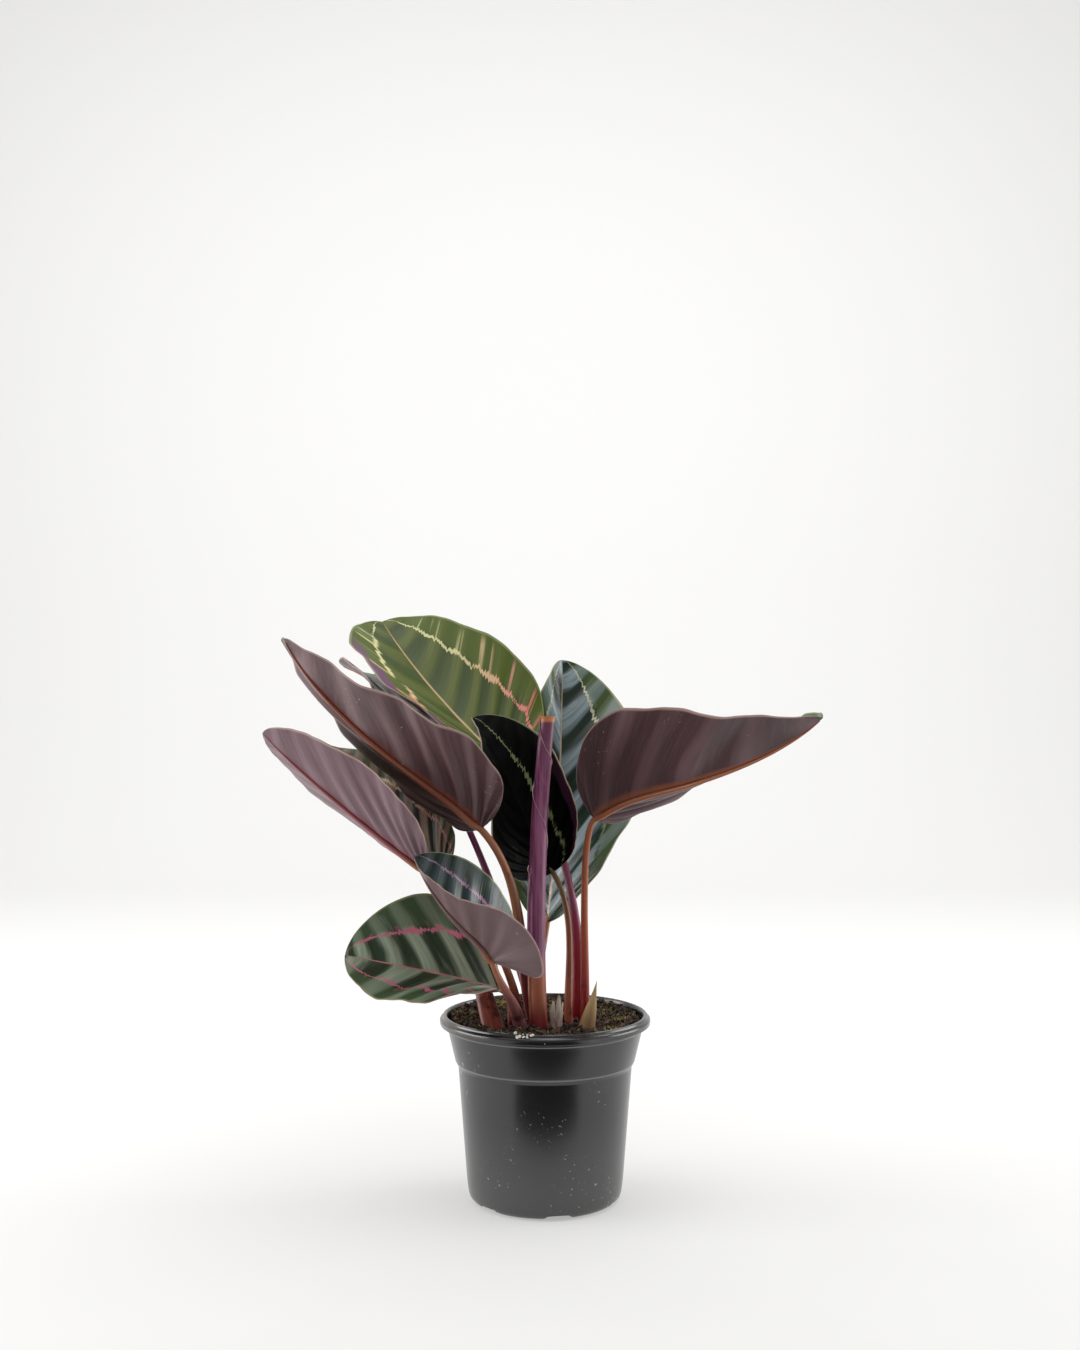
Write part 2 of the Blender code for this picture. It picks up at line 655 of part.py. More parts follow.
def soil_height(x, y):
    """The lumpy top, as a sum of a few slow waves."""
    lumps = math.sin(x * 0.21 + 1.0) * math.cos(y * 0.17) + 0.6 * math.sin(x * 0.09 - y * 0.31 + 2.0)
    return SOIL_TOP + SOIL_LUMP * lumps / 1.6


def hole_cutter(name, start, way, radius, flatness=1.0):
    """A straight round cutter along a stem's foot, a little wider than the stem."""
    centers = [start - way * HOLE_DEPTH, start + way * HOLE_ABOVE]
    wide = [radius + HOLE_EASE] * 2
    points = tube_points(centers, wide, HOLE_SIDES, [flatness] * 2)
    return solid_from(name, points, tube_faces(2, HOLE_SIDES), bpy.data.materials["soil"])


def stem_holes():
    """The cutters for every leaf, the quill and the two old sheaths."""
    cutters = []
    for name, leaf in LEAVES.items():
        start, way = foot_line(leaf)
        cutters.append(hole_cutter(f"hole_{name}", start, way, leaf.stalk[2], leaf.flatness))
    roll_way = roll_center(0.05) - roll_center(-0.05)
    roll_widest = ROLL_RADIUS[0] * (1.0 + ROLL_STEP / 2.0)
    roll_way /= np.linalg.norm(roll_way)
    cutters.append(hole_cutter("hole_roll", roll_center(0.0), roll_way, roll_widest))
    upright = np.array([0.0, 0.0, 1.0])
    for at, radius in ((TAN_SHEATH_AT, TAN_SHEATH_RADIUS), (DRY_SHEATH_AT, DRY_SHEATH_RADIUS)):
        cutters.append(hole_cutter(f"hole_{radius}", np.array([*at, SOIL_TOP]), upright, radius))
    return cutters


def soil_profile():
    """Radius and height of each ring, up the wall and in over the top, and which rings are the top."""
    wall = wall_inside(GAP)[::-1][:-1]
    edge = wall_inside(GAP)[0][0] - SOIL_EDGE
    top = [edge * (1.0 - i / (SOIL_RINGS + 1)) for i in range(SOIL_RINGS + 1)]
    return wall + [(radius, SOIL_TOP) for radius in top], len(wall)


def make_soil():
    """The plug of soil, following the pot's inner wall, with a plain hole for every stem."""
    profile, first_on_top = soil_profile()
    points = []
    for ring, (radius, height) in enumerate(profile):
        for i in range(POT_SIDES):
            angle = 2.0 * math.pi * i / POT_SIDES
            x, y = radius * math.cos(angle), radius * math.sin(angle)
            sunk = SOIL_EDGE if ring == first_on_top else 0.0
            points.append((x, y, soil_height(x, y) - sunk if ring >= first_on_top else height))
    points.append((0.0, 0.0, profile[0][1]))
    points.append((0.0, 0.0, soil_height(0.0, 0.0)))
    soil = solid_from("soil", points, tube_faces(len(profile), POT_SIDES), material("soil"))
    combine(soil, stem_holes(), "DIFFERENCE")
    return soil


def main():
    """Build every piece of the plant."""
    clear_scene()
    make_pot()
    for name, leaf in LEAVES.items():
        make_leaf(name, leaf)
    make_roll()
    make_sheaths()
    make_soil()


main()
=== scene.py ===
# %% [markdown]
# # Dressing a potted calathea
#
# This lesson takes the plain solids of a young calathea in its nursery pot and gives them the looks of
# the real plant: leaves that are green and banded above and purple below, juicy stalks, a rolled new
# leaf, crumbly soil and a scuffed plastic pot. Each step says what the piece is, how it could be made,
# and why it is made this way here.

# %% Load the frame
import math
from dataclasses import dataclass

import bmesh
import bpy
import numpy as np
from mathutils import Matrix


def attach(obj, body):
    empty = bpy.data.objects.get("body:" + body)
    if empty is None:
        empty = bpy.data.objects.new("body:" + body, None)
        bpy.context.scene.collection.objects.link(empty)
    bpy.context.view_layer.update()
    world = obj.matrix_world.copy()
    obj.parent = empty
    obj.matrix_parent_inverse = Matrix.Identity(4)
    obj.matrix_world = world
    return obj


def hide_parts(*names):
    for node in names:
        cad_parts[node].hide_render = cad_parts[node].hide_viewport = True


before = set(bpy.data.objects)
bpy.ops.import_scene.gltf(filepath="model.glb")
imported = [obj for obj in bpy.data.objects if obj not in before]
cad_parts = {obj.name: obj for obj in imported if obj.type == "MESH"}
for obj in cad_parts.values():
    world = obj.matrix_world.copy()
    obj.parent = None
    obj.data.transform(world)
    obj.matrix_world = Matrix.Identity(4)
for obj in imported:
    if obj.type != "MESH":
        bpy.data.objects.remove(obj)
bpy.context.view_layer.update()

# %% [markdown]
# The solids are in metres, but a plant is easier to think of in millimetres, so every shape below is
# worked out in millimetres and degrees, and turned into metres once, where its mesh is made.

MM = 0.001

# %% [markdown]
# ## The camera
#
# The plant is seen from straight in front, level, from a little under a metre away and from the height
# of the upper leaves, so the rim of the pot shows as a thin ellipse. A level camera keeps the pot's
# sides from leaning. No shift and no depth of field are needed.

# %% Camera
EYE = (-2.9, -920.0, 298.0)
LENS = 42.93

camera_data = bpy.data.cameras.new("camera")
camera_data.lens = LENS
camera_data.sensor_width = 36.0
camera_data.sensor_fit = "AUTO"
camera = bpy.data.objects.new("camera", camera_data)
camera.location = [value * MM for value in EYE]
camera.rotation_euler = (math.radians(90.0), 0.0, 0.0)
bpy.context.scene.collection.objects.link(camera)
bpy.context.scene.camera = camera
print("camera at", EYE, "mm")

# %% [markdown]
# ## From arrays to a mesh
#
# Most pieces are grids: rows and columns of points worked out by a formula. One helper turns any grid
# into a mesh. It joins neighbouring points into quads, merges points that fall on one place, such as
# the tip of a leaf, and stores two numbers for each point as its UV, so that a pattern can follow the
# surface. Doing it with whole arrays is quick and keeps the formulas in one place.

# %% Grid helper
def grid_faces(rows, columns, closed=False):
    """Quads between the points of a grid; closed joins the last column to the first."""
    here = np.arange(rows - 1)[:, None] * columns
    column = np.arange(columns if closed else columns - 1)[None, :]
    after = (column + 1) % columns
    corners = [here + column, here + after, here + columns + after, here + columns + column]
    return np.stack(corners, -1).reshape(-1, 4)


def make_piece(name, points, faces, uvs, finishes, face_finish=None, sharp=50.0, recalculate=True):
    """A mesh object from points in millimetres, four-cornered faces, one UV per point and its finishes."""
    mesh = bpy.data.meshes.new(name)
    mesh.from_pydata((np.asarray(points, float) * MM).tolist(), [], [tuple(f) for f in faces])
    layer = mesh.uv_layers.new(name="along")
    corner = np.empty(len(mesh.loops), np.int32)
    mesh.loops.foreach_get("vertex_index", corner)
    layer.data.foreach_set("uv", np.asarray(uvs, np.float32)[corner].ravel())
    for finish in finishes:
        mesh.materials.append(finish)
    if face_finish is not None:
        mesh.polygons.foreach_set("material_index", np.asarray(face_finish, np.int32))
    work = bmesh.new()
    work.from_mesh(mesh)
    bmesh.ops.remove_doubles(work, verts=work.verts, dist=1e-6)
    bmesh.ops.dissolve_degenerate(work, dist=1e-7, edges=work.edges)
    if recalculate:
        bmesh.ops.recalc_face_normals(work, faces=work.faces)
    work.to_mesh(mesh)
    work.free()
    mesh.shade_smooth()
    mesh.set_sharp_from_angle(angle=math.radians(sharp))
    piece = bpy.data.objects.new(name, mesh)
    bpy.context.scene.collection.objects.link(piece)
    return piece


def settle(piece, slot, *nodes):
    """Make a finished piece part of the plant: it rides on the whole, and stands for the named solids."""
    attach(piece, "root")
    if nodes:
        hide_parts(*nodes)
    print(piece.name, len(piece.data.polygons), "faces")

# %% [markdown]
# ## Building patterns from nodes
#
# Every finish below is procedural. What a node works out is wrapped as a Value, so that sums and
# products of such numbers can be written plainly, and a few short functions add the other nodes.
# Sockets that are the same all over a surface, such as its gloss, are set on the shader itself.

# %% Node helpers
class Value:
    """A number, vector or colour that nodes work out; + - * and abs() add Math nodes."""

    def __init__(self, socket):
        self.socket, self.tree = socket, socket.id_data

    def calc(self, operation, second=0.0):
        node = self.tree.nodes.new("ShaderNodeMath")
        node.operation = operation
        wire(self, node.inputs[0])
        wire(second, node.inputs[1])
        return Value(node.outputs[0])

    def __add__(self, other):
        return self.calc("ADD", other)

    def __sub__(self, other):
        return self.calc("SUBTRACT", other)

    def __mul__(self, other):
        return self.calc("MULTIPLY", other)

    def __abs__(self):
        return self.calc("ABSOLUTE")


def wire(value, socket):
    """Link a Value, or set a plain number or colour."""
    if isinstance(value, Value):
        value.tree.links.new(value.socket, socket)
    else:
        socket.default_value = value


def step_up(value, low, high, bottom=0.0, top=1.0):
    """A smooth rise from bottom to top while value goes from low to high."""
    node = value.tree.nodes.new("ShaderNodeMapRange")
    node.interpolation_type = "SMOOTHSTEP"
    names = ("Value", "From Min", "From Max", "To Min", "To Max")
    for name, number in zip(names, (value, low, high, bottom, top)):
        wire(number, node.inputs[name])
    return Value(node.outputs["Result"])


def mix(share, first, second):
    """A blend of two colours."""
    node = share.tree.nodes.new("ShaderNodeMix")
    node.data_type = "RGBA"
    wire(share, node.inputs[0])
    for value, socket in ((first, node.inputs[6]), (second, node.inputs[7])):
        wire(value if isinstance(value, Value) else (*value, 1.0), socket)
    return Value(node.outputs[2])


def noise(place, scale, detail=2.0, roughness=0.5):
    """A Noise texture's value at a place."""
    node = place.tree.nodes.new("ShaderNodeTexNoise")
    names = ("Vector", "Scale", "Detail", "Roughness")
    for name, number in zip(names, (place, scale, detail, roughness)):
        wire(number, node.inputs[name])
    return Value(node.outputs[0])


def stretched_noise(x, y, z, detail):
    """Noise at three numbers instead of a place, so that it can be drawn out along one of them."""
    node = x.tree.nodes.new("ShaderNodeCombineXYZ")
    for value, socket in zip((x, y, z), node.inputs):
        wire(value, socket)
    return noise(Value(node.outputs[0]), 1.0, detail)


def surface_pair(tree):
    """The two numbers stored along a surface, read from its UV map."""
    uv = tree.nodes.new("ShaderNodeUVMap")
    uv.uv_map = "along"
    parts = tree.nodes.new("ShaderNodeSeparateXYZ")
    tree.links.new(uv.outputs[0], parts.inputs[0])
    return Value(parts.outputs[0]), Value(parts.outputs[1])


def object_place(tree):
    """The Object coordinates."""
    return Value(tree.nodes.new("ShaderNodeTexCoord").outputs["Object"])


def new_finish(name):
    """A material with only its Principled shader and output, and its node tree."""
    finish = bpy.data.materials.new(name)
    finish.use_nodes = True
    return finish, finish.node_tree


def painted(finish, colour, roughness, specular=0.5, relief=None, strength=0.0, distance=0.0):
    """Give a finish its colour and gloss, and raise its relief, for shading only."""
    tree = finish.node_tree
    shader = tree.nodes["Principled BSDF"]
    wire(colour, shader.inputs["Base Color"])
    shader.inputs["Roughness"].default_value = roughness
    shader.inputs["Specular IOR Level"].default_value = specular
    if relief is not None:
        node = tree.nodes.new("ShaderNodeBump")
        node.inputs["Strength"].default_value = strength
        node.inputs["Distance"].default_value = distance
        wire(relief, node.inputs["Height"])
        tree.links.new(node.outputs[0], shader.inputs["Normal"])
    return finish

# %% [markdown]
# ## How a leaf is shaped
#
# Each leaf starts as a flat outline with a rib down its middle. It could be sculpted, but ten leaves
# that all differ are easier as one recipe with a few driving numbers. The rib is walked from the stalk
# to the tip, bending, sweeping and twisting as it goes, and every point of the outline is carried along
# by it. Each half folds up from the rib and curls on towards its margin. These are the numbers and the
# recipe that the solid leaves were made with, so the finer leaves keep their form and their places.

# %% Leaf numbers
@dataclass
class Leaf:
    """One leaf's driving dimensions, in millimetres and degrees."""

    base: tuple            # where the stalk meets the blade
    heading: float         # which way the rib sets off, counted from +X towards +Y
    rise: float            # its slope above the horizontal there
    roll: float            # the blade's turn about its rib, left side up
    length: float          # along the rib
    halves: tuple          # widths of the left and right halves
    fold: tuple            # how far each half stands up from flat at the rib
    curl: tuple            # how much more it turns up on the way to its margin
    foot: tuple            # where the stalk leaves the soil, x and y
    lean: tuple            # the stalk's sideways travel per millimetre of height there
    stalk: tuple           # radius at the blade, half way and at the foot
    droop: float = 0.0     # bend of the rib over its whole length, tip falling back
    neck: float = 0.0      # more of that bend, in the first third only
    hook: float = 0.0      # and in the last stretch before the tip
    sweep: float = 0.0     # sideways bend, towards the left half
    twist: float = 0.0     # turn of the blade about its rib from base to tip
    lobe: float = 0.08     # how far the base of the outline reaches back past the stalk
    waves: float = 4.0     # soft folds along the blade
    wave: float = 1.2      # their height at the margin
    phase: float = 0.0     # where the first one starts
    flatness: float = 1.0  # width of the stalk's foot against its depth
    reach: float = 0.33    # how far down the stalk the bend into the rib begins
    quilt: float = 0.8     # height of the quilting between the side veins
    ridges: float = 13.0   # how many quilted ridges lie between base and tip


LEAVES = {
    "leaf_top_back": Leaf(
        base=(-20.5, 40, 241.6), heading=155, rise=38, roll=-9, length=152.1, halves=(55.4, 58.4),
        fold=(17, 15), curl=(14, 17), droop=9, neck=-2, hook=6, sweep=-30, twist=-25, foot=(19, 11),
        lean=(0.05, 0.0), stalk=(1.7, 2.2, 4.0), waves=5, wave=1.5, phase=60, flatness=1.3, quilt=0.9,
        ridges=12),
    "leaf_left_upper": Leaf(
        base=(-35.8, -27, 212.5), heading=194, rise=47, roll=33, length=158.4, halves=(45.7, 45.7),
        fold=(14, 10), curl=(7, 10), droop=-11, neck=19, hook=-14, sweep=17, twist=-29, foot=(-7, 4),
        lean=(-0.25, -0.12), stalk=(2.0, 2.6, 3.2), waves=5, wave=2.2, quilt=1.3, ridges=10),
    "leaf_left_middle": Leaf(
        base=(-64.3, -34, 189.5), heading=170, rise=33, roll=34, length=122.6, halves=(42.2, 42.2),
        fold=(2, 14), curl=(16, 11), droop=-2, neck=-3, hook=-6, sweep=5, twist=11, foot=(-13, -10),
        lean=(-0.15, 0.0), stalk=(1.6, 1.9, 2.6), waves=4, wave=0.8, quilt=0.7, ridges=11),
    "leaf_left_back": Leaf(
        base=(-49, 28, 216), heading=138, rise=55, roll=4, length=139, halves=(44, 44), fold=(12, 4),
        curl=(10, 6), droop=38, neck=-7, hook=14, sweep=-5, twist=11, lobe=0.2, foot=(-6, 18),
        lean=(-0.3, 0.05), stalk=(1.8, 2.2, 3.0), waves=5, wave=1.2),
    "leaf_left_inner": Leaf(
        base=(-58.6, 15, 183.8), heading=165, rise=37, roll=-11, length=127.3, halves=(40.4, 39.4),
        fold=(16, 9), curl=(11, 15), droop=18, neck=-6, hook=3, sweep=-39, twist=-5, lobe=-0.05,
        foot=(-29, -14.5), lean=(-0.4, 1.1), stalk=(1.6, 2.4, 3.9), waves=5, wave=1.6, flatness=3.0,
        reach=0.12),
    "leaf_dark_center": Leaf(
        base=(4.6, 11.8, 183.6), heading=157, rise=56, roll=-43, length=102.3, halves=(42.1, 36.1),
        fold=(11, 50), curl=(18, 51), droop=12, neck=-15, hook=11, sweep=-7, twist=50, lobe=0.18,
        foot=(13.5, -1), lean=(-0.05, 0.05), stalk=(1.6, 1.8, 2.6), waves=4, wave=0.8),
    "leaf_upright": Leaf(
        base=(1.3, 48, 149), heading=71, rise=70, roll=-20, length=167, halves=(29, 59), fold=(15, 24),
        curl=(11, 12), droop=-9, neck=3, sweep=7, twist=70, lobe=0.0, foot=(-5, 33), lean=(0.0, 0.1),
        stalk=(1.8, 2.0, 2.8), waves=6, wave=1.2, reach=0.1, quilt=1.2, ridges=10),
    "leaf_right": Leaf(
        base=(28, -8, 216), heading=-24, rise=37, roll=-48, length=163, halves=(46, 52), fold=(25, 29),
        curl=(10, 17), droop=-16, neck=35, hook=-14, twist=50, foot=(22.5, -5), lean=(0.02, 0.0),
        stalk=(1.7, 2.0, 2.9), reach=0.1, waves=5, wave=1.8, phase=40, quilt=1.5, ridges=7),
    "leaf_low_left": Leaf(
        base=(-25.8, -17, 121.8), heading=189, rise=18, roll=-23, length=88.6, halves=(39.8, 46.8),
        fold=(25, 7), curl=(22, 8), droop=3, neck=3, hook=-4, sweep=3, twist=-54, foot=(-19.3, -14),
        lean=(-0.05, -0.1), stalk=(1.6, 1.6, 1.8), waves=5, wave=1.2, quilt=1.6, ridges=8),
    "leaf_low_front": Leaf(
        base=(-28.6, -49.1, 142.3), heading=195, rise=71, roll=-5, length=73.7, halves=(32.2, 34.2),
        fold=(41, 35), curl=(25, 8), droop=-36, neck=39, hook=-1, sweep=-1, twist=-50, foot=(-13.5, -18),
        lean=(-0.2, 0.0), stalk=(1.7, 2.4, 3.3), waves=4, wave=0.8, lobe=1.07, flatness=1.6, quilt=0.7,
        ridges=9),
}

print(len(LEAVES), "leaves; the longest blade is", max(leaf.length for leaf in LEAVES.values()), "mm")

# %% [markdown]
# The rib carries a small frame: a direction, and the way the upper face looks. Turning the frame a
# little at each of many short steps gives a smooth line, however the bends add up.

# %% The rib
SOIL_TOP = 99.0
RIB_STEPS = 48


def rotated(vector, axis, angle):
    """A vector turned about an axis, angle in radians."""
    cosine, sine = math.cos(angle), math.sin(angle)
    return vector * cosine + np.cross(axis, vector) * sine + axis * np.dot(axis, vector) * (1.0 - cosine)


def rib_line(leaf):
    """Walk along the rib and carry its frame: points, directions and upper-face normals."""
    heading, rise = math.radians(leaf.heading), math.radians(leaf.rise)
    run = np.array([math.cos(heading) * math.cos(rise), math.sin(heading) * math.cos(rise), math.sin(rise)])
    up = np.array([-math.cos(heading) * math.sin(rise), -math.sin(heading) * math.sin(rise), math.cos(rise)])
    up = rotated(up, run, math.radians(leaf.roll))
    place = np.array(leaf.base, float)
    places, runs, ups = [place], [run], [up]

    def bend(along):
        early = 1.0 - (1.0 - min(3.0 * along, 1.0)) ** 2
        return leaf.droop * along + leaf.hook * along ** 5 + leaf.neck * early

    for i in range(RIB_STEPS):
        here, there = i / RIB_STEPS, (i + 1) / RIB_STEPS
        left = np.cross(up, run)
        fall = math.radians(bend(there) - bend(here))
        new_run, up = rotated(run, left, fall), rotated(up, left, fall)
        new_run = rotated(new_run, up, math.radians(leaf.sweep / RIB_STEPS))
        up = rotated(up, new_run, math.radians(leaf.twist / RIB_STEPS))
        up = up - new_run * np.dot(new_run, up)
        up /= np.linalg.norm(up)
        place = place + (run + new_run) / 2.0 * leaf.length / RIB_STEPS
        run = new_run
        places.append(place)
        runs.append(run)
        ups.append(up)
    return np.array(places), np.array(runs), np.array(ups)


def rib_at(rib, along):
    """The rib's point, direction and upper-face normal at shares of its length, blended between steps."""
    spot = np.asarray(along, float) * RIB_STEPS
    low = np.clip(np.floor(spot).astype(int), 0, RIB_STEPS - 1)
    share = (spot - low)[..., None]
    return tuple(line[low] * (1.0 - share) + line[low + 1] * share for line in rib)

# %% [markdown]
# ## The blade
#
# Two numbers name every spot on a half blade: how far round the margin it lies (turn) and how far out
# from the rib (out). A line of constant turn is a side vein, which is why these two numbers also make a
# good UV map: bands, stripes and veins can all be drawn in them. The real blade is under half a
# millimetre thick, quilted between its side veins, and a little frilled at the margin.

# %% The blade's surface
BASE_FULLNESS = 0.22
TIP_NARROWING = 0.12
VEIN_LAG = 3.2
VEIN_CURVE = 0.4
BLADE_THICKNESS = 0.5
BLADE_ROWS = 150
HALF_COLUMNS = 26


def flat_point(leaf, width, turn, out):
    """The flat outline: an oval whose widest part lies nearer the base.

    Along the rib, the margin runs with the cosine of turn, and its width with the sine. A side vein
    leaves the rib nearer the base than it meets the margin, and bends forward on its way out.
    """
    share = (1.0 - np.cos(turn)) / 2.0
    back = leaf.lobe * np.sin(turn) ** 2 * (1.0 - turn / np.pi) ** 3
    margin_x = leaf.length * (share - back)
    fullness = (1.0 + BASE_FULLNESS * np.cos(turn)) * (1.0 - TIP_NARROWING * (turn / np.pi) ** 6)
    margin_y = width * np.sin(turn) * fullness
    start = leaf.length * share ** VEIN_LAG
    return start + (margin_x - start) * out ** (1.0 + VEIN_CURVE * share), margin_y * out


QUILT_WANDER = 2.0


def relief(leaf, side, turn, out):
    """Height of the surface off its smooth form: long folds, quilting between veins, and a frill.

    The folds are the solid's own. The quilting is a sine across the veins that dies out at the rib and
    the margin, and the frill is a faster sine that only shows in the outer tenth.
    """
    folds = leaf.wave * np.cos(2.0 * leaf.waves * turn + math.radians(leaf.phase)) * out
    drift = leaf.phase / 40.0 + side
    wander = QUILT_WANDER * np.sin(3.0 * turn + drift)
    quilt = leaf.quilt * np.sin(2.0 * leaf.ridges * turn + wander)
    quilt = quilt * np.sin(np.pi * np.clip(out, 0.0, 1.0) ** 0.8)
    frill = 0.2 * np.sin(31.0 * turn + drift) * np.clip((out - 0.8) / 0.2, 0.0, 1.0) ** 2
    return (folds + quilt + frill) * np.sin(turn)


def half_blade(leaf, rib, side, turn, out):
    """Points and upper-face normals of one half, side +1 for the left.

    The flat outline is carried by the rib's frame. Across the blade it follows an arc whose angle grows
    from the fold at the rib by the curl at the margin.
    """
    width, fold, curl = (pair[0 if side > 0 else 1] for pair in (leaf.halves, leaf.fold, leaf.curl))
    x, y = flat_point(leaf, width, turn, out)
    place, run, up = rib_at(rib, x / leaf.length)
    across = np.cross(up, run) * side
    bend = math.radians(max(curl, 0.01)) / width
    start = math.radians(fold)
    angle = start + bend * y
    wide = (np.sin(angle) - math.sin(start)) / bend
    high = (math.cos(start) - np.cos(angle)) / bend
    normal = up * np.cos(angle)[..., None] - across * np.sin(angle)[..., None]
    height = relief(leaf, side, turn, out)[..., None]
    return place + across * wide[..., None] + up * high[..., None] + normal * height, normal


def blade_sheet(leaf):
    """The whole blade's middle surface, its normals and its UVs, from the left margin to the right one."""
    rib = rib_line(leaf)
    turn = np.linspace(0.0, np.pi, BLADE_ROWS + 1)
    out = 1.0 - (1.0 - np.linspace(0.0, 1.0, HALF_COLUMNS + 1)) ** 1.25
    turns, outs = np.meshgrid(turn, out, indexing="ij")
    left = half_blade(leaf, rib, 1.0, turns, outs)
    right = half_blade(leaf, rib, -1.0, turns, outs)
    grid, normals = (np.concatenate([a[:, ::-1], b[:, 1:]], axis=1) for a, b in zip(left, right))
    normals[:, HALF_COLUMNS] = left[1][:, 0] + right[1][:, 0]
    normals[0], normals[-1] = normals[0, HALF_COLUMNS], normals[-1, HALF_COLUMNS]
    side = np.concatenate([out[::-1], -out[1:]])
    uvs = np.stack(np.meshgrid(turn / np.pi, 0.5 + 0.5 * side, indexing="ij"), -1)
    return grid, normals / np.linalg.norm(normals, axis=2)[..., None], uvs

# %% [markdown]
# A sheet with no thickness would look the same from both sides and end in a razor edge, so the blade
# gets an upper and a lower face, each with its own finish, and a narrow band that closes the margin.

# %% The blade's faces
def blade_arrays(leaf):
    """Points, faces, UVs and each face's finish: 0 for the upper face, 1 for the lower one and the edge."""
    grid, normals, uvs = blade_sheet(leaf)
    rows, columns = grid.shape[:2]
    count = rows * columns
    upper, lower = grid + normals * BLADE_THICKNESS / 2.0, grid - normals * BLADE_THICKNESS / 2.0
    sheet = grid_faces(rows, columns)
    row = np.arange(rows - 1) * columns
    edges = []
    for column in (0, columns - 1):
        here = row + column
        edges.append(np.stack([here, here + columns, here + columns + count, here + count], -1))
    faces = np.concatenate([sheet, sheet + count, *edges])
    finish = np.concatenate([np.zeros(len(sheet), int), np.ones(len(faces) - len(sheet), int)])
    points = np.concatenate([upper.reshape(-1, 3), lower.reshape(-1, 3)])
    return points, faces, np.tile(uvs.reshape(-1, 2), (2, 1)), finish

# %% [markdown]
# ## The stalk
#
# A stalk rises out of the soil, bends over and carries on under the blade as its rib, thinning all the
# way to the tip. It could be a curve with a bevel, but a tube worked out ring by ring can also be wide
# and flat at its foot, where the old sheath wraps it.

# %% Stalk
STALK_SIDES = 20
STALK_ROWS = 70
RIB_ROWS = 60
STALK_SUNK = 9.0
STALK_MIDDLE = 0.45
STALK_SPRING = 0.35
SHEATHED = 0.7


def stalk_curve(leaf, share):
    """The stalk's centre line: a curve with four handles, from the soil up into the rib's direction."""
    way = np.array([leaf.lean[0], leaf.lean[1], 1.0])
    way /= np.linalg.norm(way)
    start = np.array([leaf.foot[0], leaf.foot[1], SOIL_TOP])
    places, runs, _ = rib_line(leaf)
    chord = np.linalg.norm(places[0] - start)
    bends = [start + way * chord * STALK_SPRING, places[0] - runs[0] * chord * leaf.reach]
    share = np.asarray(share, float)[:, None]
    weights = [(1 - share) ** 3, 3 * (1 - share) ** 2 * share, 3 * (1 - share) * share ** 2, share ** 3]
    handles = [start, *bends, places[0]]
    return sum(weight * point for weight, point in zip(weights, handles)), start, way


def tube_rings(centers, radii, sides, flatness):
    """Rings of points about a path, each widened across and thinned in depth by the same share."""
    runs = np.gradient(centers, axis=0)
    runs /= np.linalg.norm(runs, axis=1)[:, None]
    deep = np.array([0.0, 1.0, 0.0]) - runs * runs[:, 1:2]
    deep /= np.linalg.norm(deep, axis=1)[:, None]
    wide = np.cross(runs, deep)
    angle = np.linspace(0.0, 2.0 * np.pi, sides, endpoint=False)[None, :, None]
    stretch = np.sqrt(flatness)[:, None, None]
    ring = wide[:, None] * np.cos(angle) * stretch + deep[:, None] * np.sin(angle) / stretch
    return centers[:, None] + ring * radii[:, None, None]


def tube_arrays(centers, radii, sides, flatness):
    """A closed tube: its rings, with the first and last one drawn in to a point."""
    rings = tube_rings(centers, radii, sides, flatness)
    ends = [np.repeat(centers[i][None, None], sides, 1) for i in (0, -1)]
    rings = np.concatenate([ends[0], rings, ends[1]])
    along = np.concatenate([[0.0], np.linspace(0.0, 1.0, len(centers)), [1.0]])
    around = np.abs(2.0 * np.arange(sides) / sides - 1.0)
    uvs = np.stack(np.meshgrid(along, around, indexing="ij"), -1)
    return rings.reshape(-1, 3), grid_faces(len(rings), sides, closed=True), uvs.reshape(-1, 2)


def stalk_arrays(leaf):
    """The stalk and, in one tube with it, the rib under the blade."""
    share = np.linspace(0.0, 1.0, STALK_ROWS + 1)
    rise, start, way = stalk_curve(leaf, share)
    rib = rib_line(leaf)
    top, middle, foot = leaf.stalk
    radii = np.interp(share, [0.0, STALK_MIDDLE, 1.0], [foot, middle, top])
    along = np.linspace(0.0, 0.985, RIB_ROWS + 1)[1:]
    rib_radii = top * 0.9 * (1.0 - along) ** 0.75 + 0.22
    places, runs, ups = rib_at(rib, along)
    drop = np.minimum(along / 0.04, 1.0) * rib_radii
    under = places - ups * drop[:, None]
    centers = np.vstack([start - way * STALK_SUNK, rise, under])
    radii = np.concatenate([[foot], radii, rib_radii])
    steps = [0, 1, STALK_ROWS * SHEATHED]
    flatness = np.interp(np.arange(len(centers)), steps, [leaf.flatness, leaf.flatness, 1.0])
    return tube_arrays(centers, radii, STALK_SIDES, flatness)

# %% [markdown]
# ## Leaf colours
#
# A calathea's upper face is striped along its side veins, and a jagged pale band runs parallel to the
# margin, cream near the tip and pink near the base. Painting it would fix it to one leaf; drawing it
# with noise stretched along the veins gives every leaf its own stripes from one recipe. The noise reads
# how far round the margin a point lies many times over, and how far out it lies hardly at all, so its
# blotches become stripes that follow the veins.

